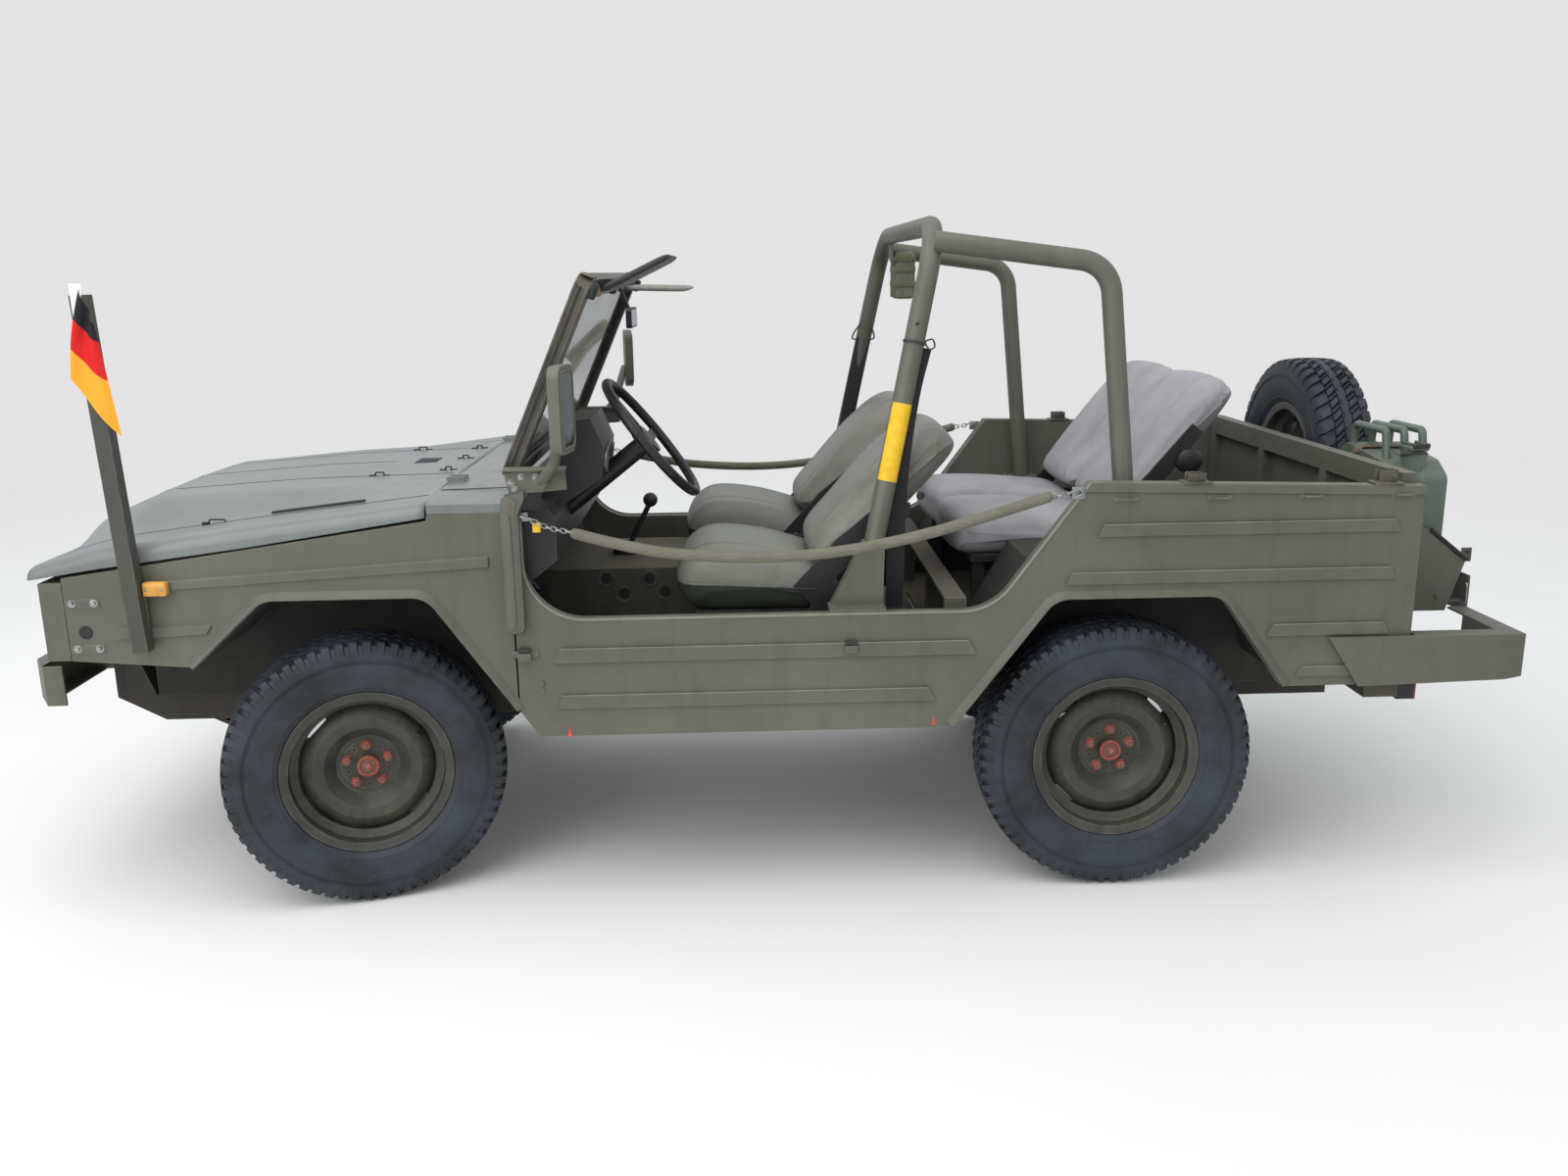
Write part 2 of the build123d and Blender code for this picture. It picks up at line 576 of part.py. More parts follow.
def rim():
    half = rim_width / 2
    edge = bead_radius + rim_flange
    well = bead_radius - rim_well_depth
    barrel = wheel_turn([(-half - 6, edge - 1), (-half - 6, edge + 1), (-half - 1, edge + 1), (-half + 1, bead_radius + 0.2),
                         (-34, bead_radius - 2), (-24, well), (24, well), (34, bead_radius - 2),
                         (half - 1, bead_radius + 0.2), (half + 1, edge + 1), (half + 6, edge + 1), (half + 6, edge - 1),
                         (half + 5, edge - 3), (half + 3, bead_radius - 5), (35, bead_radius - 7), (24, well - 5),
                         (-24, well - 5), (-35, bead_radius - 7), (-half - 3, bead_radius - 5), (-half - 5, edge - 3)])
    disc = wheel_turn([(0, nave_radius), (dish_rise, nave_radius + 30), (dish_rise + 6, 138), (dish_rise - 6, dish_radius - 6),
                       (8, well - 5), (8, well - 1), (3, well - 1), (3, well - 5), (dish_rise - 12, dish_radius - 8),
                       (dish_rise, 138), (dish_rise - 5, nave_radius + 32), (-nave_thickness, nave_radius),
                       (-nave_thickness, 30), (0, 30)])
    for n in range(rim_slot_count):
        slot = block((-34, 34), (-10, 30), (dish_radius - 2, dish_radius + rim_slot_width - 4))
        disc -= turned(slot, (0, 0, 0), (0, 1, 0), 45 + n * 360 / rim_slot_count)
    for n in range(wheel_bolt_count):
        angle = math.radians(90 + n * 360 / wheel_bolt_count)
        x = wheel_bolt_circle / 2 * math.cos(angle)
        z = wheel_bolt_circle / 2 * math.sin(angle)
        disc -= rod((x, -20, z), (x, 20, z), wheel_bolt_hole)
    return barrel + disc


def hub():
    """The drum behind the wheel's disc, bored for the stub."""
    drum = rod((0, -drum_depth, 0), (0, -nave_thickness, 0), drum_radius)
    drum = chamfer(drum.edges().filter_by(GeomType.CIRCLE), 8)
    drum += rod((0, -drum_depth + 10, 0), (0, 14, 0), 30)
    return drum - rod((0, -drum_depth - 1, 0), (0, 12.5, 0), spindle_radius + running_fit)


tyre_shape = tyre()
rim_shape = rim()
running_wheel = rim_shape + hub()
wheels = [
    ("front_left", front_axle_x, front_track / 2, kingpin_y, steer_rest),
    ("front_right", front_axle_x, -front_track / 2, -kingpin_y, steer_rest),
    ("rear_left", rear_axle_x, rear_track / 2, 0, 0),
    ("rear_right", rear_axle_x, -rear_track / 2, 0, 0),
]
for name, x, y, pivot_y, angle in wheels:
    for kind, shape in (("tyre", tyre_shape), ("rim", running_wheel)):
        placed = Pos(x, y, tyre_radius) * (shape if y > 0 else mirrored(shape))
        if angle:
            placed = turned(placed, (x, pivot_y, 0), (0, 0, 1), angle)
        write(f"{kind}_{name}", placed)
spare_place = Pos(spare_x, spare_y, spare_z) * Rot(0, 0, 90)
write("spare_tyre", spare_place * tyre_shape)
write("spare_rim", spare_place * rim_shape)

# Fuel tank and silencer under the tail
tank_x = rear_axle_x - 381.5
tank_top = rear_floor_z - 20 - seat_gap
tank = block((tank_x - 130, tank_x + 130), (-420, 420), (rail_z[1] + seat_gap, tank_top))
tank_low = block((tank_x - 120, tank_x + 120), (-240, 240), (392, rail_z[1] + 4))
silencer_x = tank_x - 220
silencer = rod((silencer_x, -190, 440), (silencer_x, 190, 440), 48)
silencer_hanger = block((silencer_x - 10, silencer_x + 10), (-12, 12), (480, tank_top))
write("fuel_tank", [tank + tank_low, silencer + silencer_hanger])

# Roll bar: a leaning hoop, two stays and their feet
hoop_slope = (hoop_top[0] - hoop_foot[0]) / (hoop_top[2] - hoop_foot[2])
hoop_inward = (hoop_top[1] - hoop_foot[1]) / (hoop_top[2] - hoop_foot[2])
hoop = bent_rod([hoop_foot, hoop_top, (hoop_top[0], -hoop_top[1], hoop_top[2]), (hoop_foot[0], -hoop_foot[1], hoop_foot[2])],
                hoop_bend, tube_radius)
roll_bar = hoop
stay_z = 1700
stay_start = (hoop_foot[0] + hoop_slope * (stay_z - hoop_foot[2]), hoop_foot[1] + hoop_inward * (stay_z - hoop_foot[2]), stay_z)
stay_elbow = (stay_foot[0] + 73, stay_foot[1] - 15, 1640)
stay = bent_rod([stay_start, stay_elbow, (*stay_foot, box_top_z + 4)], stay_bend, tube_radius)
foot_inner_y = half_width - 87
foot_outer_y = half_width - wall - 4
foot = across([(-151, door_sill_z + 10), (-285, door_sill_z + 10), (-290, 960), (-234, 960)], foot_inner_y, foot_outer_y)
flange = block((-290, -146), (foot_inner_y, half_width - 2), (door_sill_z + seat_gap, door_sill_z + 12))
stay_flange = block((stay_foot[0] - 50, stay_foot[0] + 60), (foot_inner_y - 45, foot_outer_y),
                    (box_top_z + seat_gap, box_top_z + 10))
for shape in (stay, foot, flange, stay_flange):
    roll_bar += shape
    roll_bar += mirrored(shape)
write("roll_bar", roll_bar)


# Windscreen frame, glass, sun visors and inside mirror, drawn upright at the pivot and then leant back
def leant(shape):
    return turned(Pos(pivot_x, 0, pivot_z) * shape, (pivot_x, 0, pivot_z), (0, 1, 0), -screen_lean)


def screen_plate(half, low, high, radius, x_low, x_high):
    wire = FilletPolyline((x_low, -half, low), (x_low, half, low), (x_low, half, high), (x_low, -half, high),
                          radius=radius, close=True)
    return extrude(make_face(wire), amount=x_high - x_low, dir=(1, 0, 0))


frame_low = 14
screen_frame = screen_plate(screen_half, frame_low, screen_height, 46, -screen_depth / 2, screen_depth / 2)
screen_frame -= screen_plate(screen_half - screen_bar, frame_low + screen_bar, screen_height - screen_bar, 34, -50, 50)
for s in (-1, 1):
    lug = rod((0, s * 560 - 16, 0), (0, s * 560 + 16, 0), 12)
    lug += block((-10, 10), (s * 560 - 16, s * 560 + 16), (0, frame_low + 4))
    screen_frame += lug - rod((0, s * 560 - 40, 0), (0, s * 560 + 40, 0), screen_pin + running_fit)
write("windscreen_frame", leant(screen_frame))
glass = screen_plate(screen_half - screen_bar - seat_gap, frame_low + screen_bar + seat_gap,
                     screen_height - screen_bar - seat_gap, 33.7, -glass_thickness / 2, glass_thickness / 2)
write("windscreen_glass", leant(glass))

screen_back = -screen_depth / 2 - seat_gap
visor_low = screen_height - 30
visor_plate = across([(screen_back - 13, visor_low - 3), (screen_back - 5, visor_low + 3), (screen_back - 136, visor_low + 155),
                      (screen_back - 143, visor_low + 149)], 170, 590)
visor_rod = rod((screen_back - 7, 150, visor_low), (screen_back - 7, 620, visor_low), 4)
for y in (160, 600):
    visor_rod += block((screen_back - 8, screen_back), (y - 8, y + 8), (visor_low - 10, visor_low + 10))
near_visor = visor_plate + visor_rod
far_visor = turned(visor_plate, (screen_back - 7, 0, visor_low), (0, 1, 0), -visor_drop) + visor_rod
write("sun_visors", [leant(near_visor), leant(mirrored(far_visor))])
inner_mirror = Box(16, 210, 56)
inner_mirror = fillet(inner_mirror.edges().filter_by(Axis.X), 12)
inner_mirror = Pos(screen_back - 72, 0, screen_height - 92) * Rot(0, screen_lean, 0) * inner_mirror
inner_mirror += rod((screen_back - 4, 0, screen_height - 20), (screen_back - 66, 0, screen_height - 84), 6)
inner_mirror += block((screen_back - 6, screen_back), (-14, 14), (screen_height - 34, screen_height - 8))
write("inner_mirror", leant(inner_mirror))

# Outside mirrors on their arms
near_plate = Box(26, 130, 200)
near_plate = fillet(near_plate.edges().filter_by(Axis.X), 30)
near_plate = Pos(478, half_width + 188, 1332) * Rot(0, 0, -8) * near_plate
near_arm = bent_rod([(560, half_width + 18, 1140), (520, half_width + 58, 1190), (490, half_width + 158, 1300)], 20, 13)
bracket = across([(500, 1120), (640, 1110), (648, 1160), (560, 1172), (505, 1172)], half_width + 1, half_width + 7)
bracket += block((600, 644), (half_width - 30, half_width + 4), (1100, 1112))
mirror_post = rounded_across([(622, 760), (664, 760), (664, 1062), (660, 1100), (604, 1120), (604, 1100), (622, 1062)],
                             [18, 18, 1, 1, 1, 1, 1], half_width + seat_gap, half_width + 26)
mirror_pivot = rod((560, half_width + 2, 1140), (560, half_width + 28, 1140), 16)
write("door_mirrors", pair(near_plate + near_arm + mirror_pivot + bracket + mirror_post))

# Dashboard with the instrument housing, cut round the column
tilt = math.radians(wheel_tilt)
column_dir = Vector(math.cos(tilt), 0, -math.sin(tilt))
centre = Vector(*wheel_centre)


def on_column(distance):
    return tuple(centre + column_dir * distance)


dash = across([(post_x, cowl_z - seat_gap), (556, cowl_z - seat_gap), (540, 1040), (540, 930), (600, 884), (post_x, 884)],
              -inner_half, inner_half)
binnacle = across([(545, 1040), (438, 1110), (428, 1190), (460, 1268), (520, 1262), (560, 1190), (600, 1058)], 240, 530)
dash = fillet(dash.edges().filter_by(Axis.Y).sort_by(Axis.X)[0], 8) + binnacle
dash -= rod(on_column(20), on_column(600), column_radius + seat_gap)
write("dashboard", dash)

column = rod(on_column(37 + seat_gap), on_column(660), column_radius)
column -= across([(560, 467), (589.6, 512), (815.6, 850.3), (815.6, 1200), (1200, 1200), (1200, 400)], 300, 460)
write("steering_column", column)

wheel_plane = Plane(origin=wheel_centre, x_dir=(0, 1, 0), z_dir=tuple(-column_dir))
steering = Torus(wheel_radius, wheel_rim)
steering += Pos(0, 0, -20) * Cylinder(42, 34)
for angle in (0, 90, 180):
    spoke = Pos((wheel_radius - 10) / 2 + 8, 0, -8) * Box(wheel_radius - 12, 26, 8)
    steering += turned(spoke, (0, 0, 0), (0, 0, 1), angle + 180)
steering += Pos(0, 0, -32) * Cylinder(20, 6)
write("steering_wheel", wheel_plane * steering)

# Gear lever, hand brake and pedals
def on_tunnel(x):
    """The height just above the sloping top of the tunnel."""
    return tunnel_z + 20 * (x - heel_x) / (gearbox_rear_x - 60 - heel_x) + seat_gap


levers = [
    rod((428, 0, gearbox_z + 6), (352, 0, 952), 8) + Pos(350, 0, 962) * Sphere(22)
    + Pos(426, 0, gearbox_z + seat_gap + 14) * Cylinder(44, 28),
    rod((60, 60, tunnel_z + 24), (-70, 60, 820), 9) + rod((-64, 60, 812), (-98, 60, 856), 14)
    + block((30, 100), (40, 80), (on_tunnel(100), tunnel_z + 40)),
]
for y, board_x in ((275, 828), (335, 816), (465, 816)):
    pad = block((640, 650), (y - 26, y + 26), (700, 762))
    pad += rod((648, y, 740), (792, y, 900), 8)
    levers.append(pad + block((786, board_x - seat_gap), (y - 16, y + 16), (884, 916)))
write("levers_and_pedals", levers)

# Seats
frames = []
cushions = []
backs = []


def leaning(points, corner, lean):
    """An outline given along and through a seat back, placed at its lower front corner."""
    a = math.radians(lean)
    up = (-math.sin(a), math.cos(a))
    back = (-math.cos(a), -math.sin(a))
    return [(corner[0] + up[0] * h + back[0] * t, corner[1] + up[1] * h + back[1] * t) for h, t in points]


for s in (-1, 1):
    low = s * front_seat_y - front_seat_width / 2
    high = s * front_seat_y + front_seat_width / 2
    cushion = rounded_across([(204, 757), (238, 835), (214, 898), (150, 926), (-165, 853), (-165, 764)],
                             [14, 30, 30, 40, 22, 14], low, high)
    cushions.append(cushion)
    back_outline = leaning([(0, 0), (440, 0), (455, 60), (440, back_thickness), (0, back_thickness)], (-104, 932),
                           front_back_lean)
    backs.append(rounded_across(back_outline, [16, 30, 30, 24, 16], low, high))
    base = block((-150, 200), (low + 16, high - 16), (728, 756.9))
    for x in (-120, 130):
        for y in (low + 30, high - 60):
            base += block((x, x + 30), (y, y + 30), (floor_z + seat_gap, 730))
    for y in (low + 26, high - 64):
        base += block((-150, 165), (y, y + 38), (floor_z + seat_gap, floor_z + 24))
    plate_outline = leaning([(-110, 40), (-110, 110), (230, 108), (230, 62), (60, 40)], (-104, 932), front_back_lean)
    for y in (low - 6 - seat_gap, high + seat_gap):
        base += across(plate_outline, y, y + 6)
        base += block((-150, -90), (min(y, low + 20) if y < low else high - 20, max(y + 6, high - 20) if y > low else low + 20),
                      (728, 756))
        base += across([(-90, 728), (-150, 728), (-200, 830), (-130, 850)], y, y + 6)
    frames.append(base)
    low = s * rear_seat_y - rear_seat_width / 2
    high = s * rear_seat_y + rear_seat_width / 2
    cushions.append(rounded_across([(-540, 862), (-524, 930), (-548, 972), (-950, 940), (-965, 862)],
                                   [16, 24, 30, 30, 20], low, high))
    back_outline = leaning([(0, 0), (420, 0), (440, 50), (420, 108), (0, 108)], (-934, 1010), rear_back_lean)
    backs.append(rounded_across(back_outline, [16, 30, 30, 24, 16], low, high))
rear_base = block((-950, -560), (-420, 420), (842, 862 - seat_gap))
for x in (-940, -600):
    for y in (-400, 370):
        rear_base += block((x, x + 30), (y, y + 30), (rear_floor_z + seat_gap, 844))
rear_outer = rear_seat_y + rear_seat_width / 2
for y in (-rear_outer - 6 - seat_gap, rear_outer + seat_gap):
    rear_base += across(leaning([(-150, 30), (-150, 90), (300, 90), (300, 50)], (-934, 1010), rear_back_lean), y, y + 6)
    rear_base += block((-950, -850), (min(y, 410), max(y + 6, -410)) if y > 0 else (y, -410), (842, 862 - seat_gap))
frames.append(rear_base)
write("seat_frames", frames)
write("seat_cushions", cushions)
write("seat_backs", backs)

# Tailgate with its top rail and the carrier of the spare wheel
gate_x = body_rear_x
gate = block((gate_x, gate_x + gate_thickness), (-gate_half, gate_half), (gate_low_z, gate_top_z))
gate -= block((gate_x + 12, gate_x + gate_thickness + 1), (-gate_half + 50, gate_half - 50), (gate_low_z + 40, gate_top_z - 60))
for y in (-230, 230):
    gate += block((gate_x + 8, gate_x + gate_thickness), (y - 20, y + 20), (gate_low_z + 30, gate_top_z - 50))
gate += rod((gate_x + 4, spare_y, spare_z), (spare_x + nave_thickness + seat_gap, spare_y, spare_z), 70)
gate += rod((gate_x + 4, spare_y, spare_z), (spare_x - 20, spare_y, spare_z), 24)
gate += rod((spare_x - seat_gap, spare_y, spare_z), (spare_x - 10, spare_y, spare_z), 46)
for y in gate_hinge_places:
    gate += rod((hinge_x, y - 30, hinge_z), (hinge_x, y + 30, hinge_z), 10)
    gate += block((hinge_x - 8, gate_x + 4), (y - 30, y + 30), (hinge_z, gate_low_z + 30))
    gate -= rod((hinge_x, y - 32, hinge_z), (hinge_x, y + 32, hinge_z), gate_pin + running_fit)
write("tailgate", gate)

# Sheet tub for the can, and the can
tub_half = can_width / 2 + 20
tub_front = gate_x - seat_gap
tub_cheek = [(tub_front, tub_floor_z), (-1897, tub_floor_z), (-1943, 826), (-1833, 912), (tub_front, 990)]
tub = across(tub_cheek, can_y - tub_half, can_y + tub_half)
tub -= across([(gate_x + 20, tub_floor_z + 6), (-1892, tub_floor_z + 6), (-1952, 860), (-1833, 1100), (gate_x + 20, 1100)],
              can_y - tub_half + 6, can_y + tub_half - 6)
tub += block((tub_front - 4, tub_front), (can_y - tub_half, can_y + tub_half), (tub_floor_z, 960))
plate = block((-1962, -1956), (can_y + tub_half - 100, can_y + tub_half), (672, 780))
plate += block((-1958, -1890), (can_y + tub_half - 60, can_y + tub_half - 20), (700, 706))
tub += plate
write("can_tub", tub)

can_low = tub_floor_z + 6 + seat_gap
can_shape = along([(can_y - can_width / 2, can_low), (can_y + can_width / 2, can_low),
                   (can_y + can_width / 2, can_low + can_height - 40), (can_y + can_width / 2 - 60, can_low + can_height),
                   (can_y - can_width / 2 + 70, can_low + can_height + 26), (can_y - can_width / 2, can_low + can_height - 30)],
                  can_x - can_depth / 2, can_x + can_depth / 2)
can_shape = fillet(can_shape.edges().filter_by(Axis.X), 28)
can_top = can_low + can_height
for x in (can_x - 52, can_x, can_x + 52):
    handle = bent_rod([(x, can_y - 120, can_top - 10), (x, can_y - 110, can_top + 78), (x, can_y + 70, can_top + 78),
                       (x, can_y + 90, can_top - 10)], 16, 11)
    can_shape += handle
can_shape += rod((can_x, can_y + 126, can_top - 30), (can_x, can_y + 138, can_top + 36), 30)
write("jerrycan", can_shape)

# Flag pole on the left fender, and the flag
pole_y = half_width + 30
pole_low = (1563, pole_y, 735)
pole_high = (1600, pole_y, 1600)
pole_vector = Vector(pole_high) - Vector(pole_low)
pole = Plane(origin=pole_low, x_dir=(0, 1, 0), z_dir=pole_vector) * Box(
    38, 38, pole_vector.length, align=(Align.CENTER, Align.CENTER, Align.MIN))
pole_foot = block((1546, 1584), (half_width + rib_height + seat_gap, half_width + 18), (740, 870))
write("flag_pole", pole + pole_foot)
flag = across([(1626, 1412), (1622, 1628), (1578, 1628), (1570, 1470), (1540, 1290), (1560, 1300)],
              pole_low[1] - 19, pole_low[1] + 19)
flag -= Plane(origin=pole_low, x_dir=(0, 1, 0), z_dir=pole_vector) * Box(
    38.6, 38.6, pole_vector.length + 0.3, align=(Align.CENTER, Align.CENTER, Align.MIN))
write("flag", flag)

# Straps across the door openings, with the chain at the front end
strap_radius = 14
# Columns: x, distance out from the body's side, height
strap_places = [(485, 10, 1008), (330, 34, 968), (165, 40, 950), (10, 42, 944), (-145, 42, 952), (-295, 40, 975),
                (-430, 36, 1006), (-560, 28, 1042), (-690, 14, 1078)]
strap_route = [(x, half_width + out, z) for x, out, z in strap_places]
strap_bends = []
for n in range(1, len(strap_route) - 1):
    before = Vector(strap_route[n]) - Vector(strap_route[n - 1])
    after = Vector(strap_route[n + 1]) - Vector(strap_route[n])
    turn = math.radians(before.get_angle(after))
    strap_bends.append(0.45 * min(before.length, after.length) / math.tan(turn / 2))
print("strap radii", [round(r) for r in strap_bends])
strap = bent_rod(strap_route, strap_bends, strap_radius)
write("strap_left", strap)
write("strap_right", mirrored(strap))


def strap_end(inner, end):
    """A round ferrule that meets the strap's end face, and its centre."""
    outward = (Vector(end) - Vector(inner)).normalized()
    face = Vector(end) + outward * seat_gap
    tip = Vector(end) + outward * 12
    return rod(tuple(face), tuple(tip), 9), tuple((face + tip) * 0.5)


front_ferrule, chain_start = strap_end(strap_route[1], strap_route[0])
rear_ferrule, hook_start = strap_end(strap_route[-2], strap_route[-1])
chain = front_ferrule + rod(chain_start, (612, half_width + 13, 1052), 5)
chain += block((608, 622 - seat_gap), (half_width + 4, half_width + 22), (1042, 1061))
hook = rear_ferrule + rod(hook_start, (-770, half_width + 10, 1088), 7)
hook += block((-786, -752), (half_width + seat_gap, half_width + 12), (1070, 1100))
write("strap_hardware", pair(chain) + pair(hook))

# Belts at the front seats, and the pouch on the hoop
belt_y = half_width - 122
belt = across([(-300, 770), (-346, 770), (-352, 1050), (-306, 1050)], belt_y, belt_y + 3)
belt += block((-346, -300), (belt_y - 4, inner_half), (762, 772))
stalk = across([(-120, on_tunnel(-120)), (-160, on_tunnel(-160)), (-214, 860), (-180, 880)], 130, 136)
write("seat_belts", pair(belt) + pair(stalk))
pouch = block((-500, -440), (-520, -380), (1540, 1690))
pouch = fillet(pouch.edges(), 12)
for y in (-440, -404):
    pouch += block((hoop_top[0] - 3, hoop_top[0] + 3), (y, y + 20), (1660, hoop_top[2] - tube_radius - seat_gap))
    pouch += block((-460, hoop_top[0] + 3), (y, y + 20), (1660, 1670))
write("pouch", pouch)
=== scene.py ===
import json
import math
import bpy
import bmesh
import numpy as np
from mathutils import Matrix, Vector

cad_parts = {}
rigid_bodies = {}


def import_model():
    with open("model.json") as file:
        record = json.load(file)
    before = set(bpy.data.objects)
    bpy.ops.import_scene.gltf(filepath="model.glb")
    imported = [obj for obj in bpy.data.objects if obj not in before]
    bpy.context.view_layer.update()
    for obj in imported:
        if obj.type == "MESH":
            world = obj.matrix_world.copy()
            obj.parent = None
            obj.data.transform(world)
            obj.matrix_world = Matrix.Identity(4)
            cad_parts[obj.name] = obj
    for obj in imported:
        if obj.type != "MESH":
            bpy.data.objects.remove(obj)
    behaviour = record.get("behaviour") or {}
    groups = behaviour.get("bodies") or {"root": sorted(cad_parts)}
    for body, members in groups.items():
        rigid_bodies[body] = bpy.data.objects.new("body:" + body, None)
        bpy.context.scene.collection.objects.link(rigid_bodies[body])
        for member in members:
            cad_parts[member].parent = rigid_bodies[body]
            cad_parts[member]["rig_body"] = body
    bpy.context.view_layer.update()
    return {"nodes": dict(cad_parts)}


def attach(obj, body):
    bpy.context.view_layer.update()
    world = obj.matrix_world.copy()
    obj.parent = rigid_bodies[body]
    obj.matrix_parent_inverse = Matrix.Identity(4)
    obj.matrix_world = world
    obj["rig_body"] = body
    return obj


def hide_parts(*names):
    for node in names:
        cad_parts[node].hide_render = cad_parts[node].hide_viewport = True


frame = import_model()
print("frame loaded")

# Camera at the photograph's angle
photoCamera = {"place": (0.0687, 3.9456, 1.6309), "turn": -1.771, "down": 13.587, "roll": -0.782, "lens": 30.04}


def placeCamera(values):
    turn, down, roll = (math.radians(values[key]) for key in ("turn", "down", "roll"))
    forward = Vector((math.sin(turn) * math.cos(down), -math.cos(turn) * math.cos(down), -math.sin(down)))
    right = Vector((-math.cos(turn), -math.sin(turn), 0))
    up = right.cross(forward)
    side = math.cos(roll) * right + math.sin(roll) * up
    top = math.cos(roll) * up - math.sin(roll) * right
    data = bpy.data.cameras.new("photoCamera")
    data.lens = values["lens"]
    data.sensor_width = 36
    data.sensor_fit = "HORIZONTAL"
    eye = bpy.data.objects.new("photoCamera", data)
    eye.matrix_world = Matrix.Translation(values["place"]) @ Matrix((side, top, -forward)).transposed().to_4x4()
    bpy.context.scene.collection.objects.link(eye)
    bpy.context.scene.camera = eye


placeCamera(photoCamera)


# Shader helpers: one node with its inputs set or linked, and short forms of the common ones
def put(tree, kind, inputs=None, **settings):
    made = tree.nodes.new("ShaderNode" + kind)
    for name, value in settings.items():
        setattr(made, name, value)
    for name, value in (inputs or {}).items():
        if isinstance(value, bpy.types.NodeSocket):
            tree.links.new(value, made.inputs[name])
        else:
            made.inputs[name].default_value = value
    return made


def blendColour(tree, share, low, high, mode="MIX"):
    return put(tree, "Mix", {0: share, 6: low, 7: high}, data_type="RGBA", blend_type=mode).outputs[2]


def sums(tree, operation, a, b=0.0):
    return put(tree, "Math", {0: a, 1: b}, operation=operation).outputs[0]


def spread(tree, value, low, high, toLow=0.0, toHigh=1.0):
    return put(tree, "MapRange", {0: value, 1: low, 2: high, 3: toLow, 4: toHigh}, clamp=True).outputs[0]


def noiseOf(tree, place, scale, detail=3.0, roughness=0.5):
    return put(tree, "TexNoise", {"Vector": place, "Scale": scale, "Detail": detail,
                                  "Roughness": roughness}).outputs[0]


def stretched(tree, place, scale):
    return put(tree, "Mapping", {"Vector": place, "Scale": scale}).outputs[0]


def bumpOf(tree, height, strength, distance):
    return put(tree, "Bump", {"Height": height, "Strength": strength, "Distance": distance}).outputs[0]


def newGroup(name, inputs, outputs):
    tree = bpy.data.node_groups.new(name, "ShaderNodeTree")
    for label, kind, value in inputs:
        socket = tree.interface.new_socket(name=label, in_out="INPUT", socket_type="NodeSocket" + kind)
        socket.default_value = value
    for label, kind in outputs:
        tree.interface.new_socket(name=label, in_out="OUTPUT", socket_type="NodeSocket" + kind)
    return tree, tree.nodes.new("NodeGroupInput").outputs, tree.nodes.new("NodeGroupOutput").inputs


def tone(red, green, blue):
    # a colour read as 0 to 255 on the screen, made linear
    share = np.array([red, green, blue]) / 255
    linear = np.where(share <= 0.04045, share / 12.92, ((share + 0.055) / 1.055) ** 2.4)
    return (*[float(v) for v in linear], 1.0)


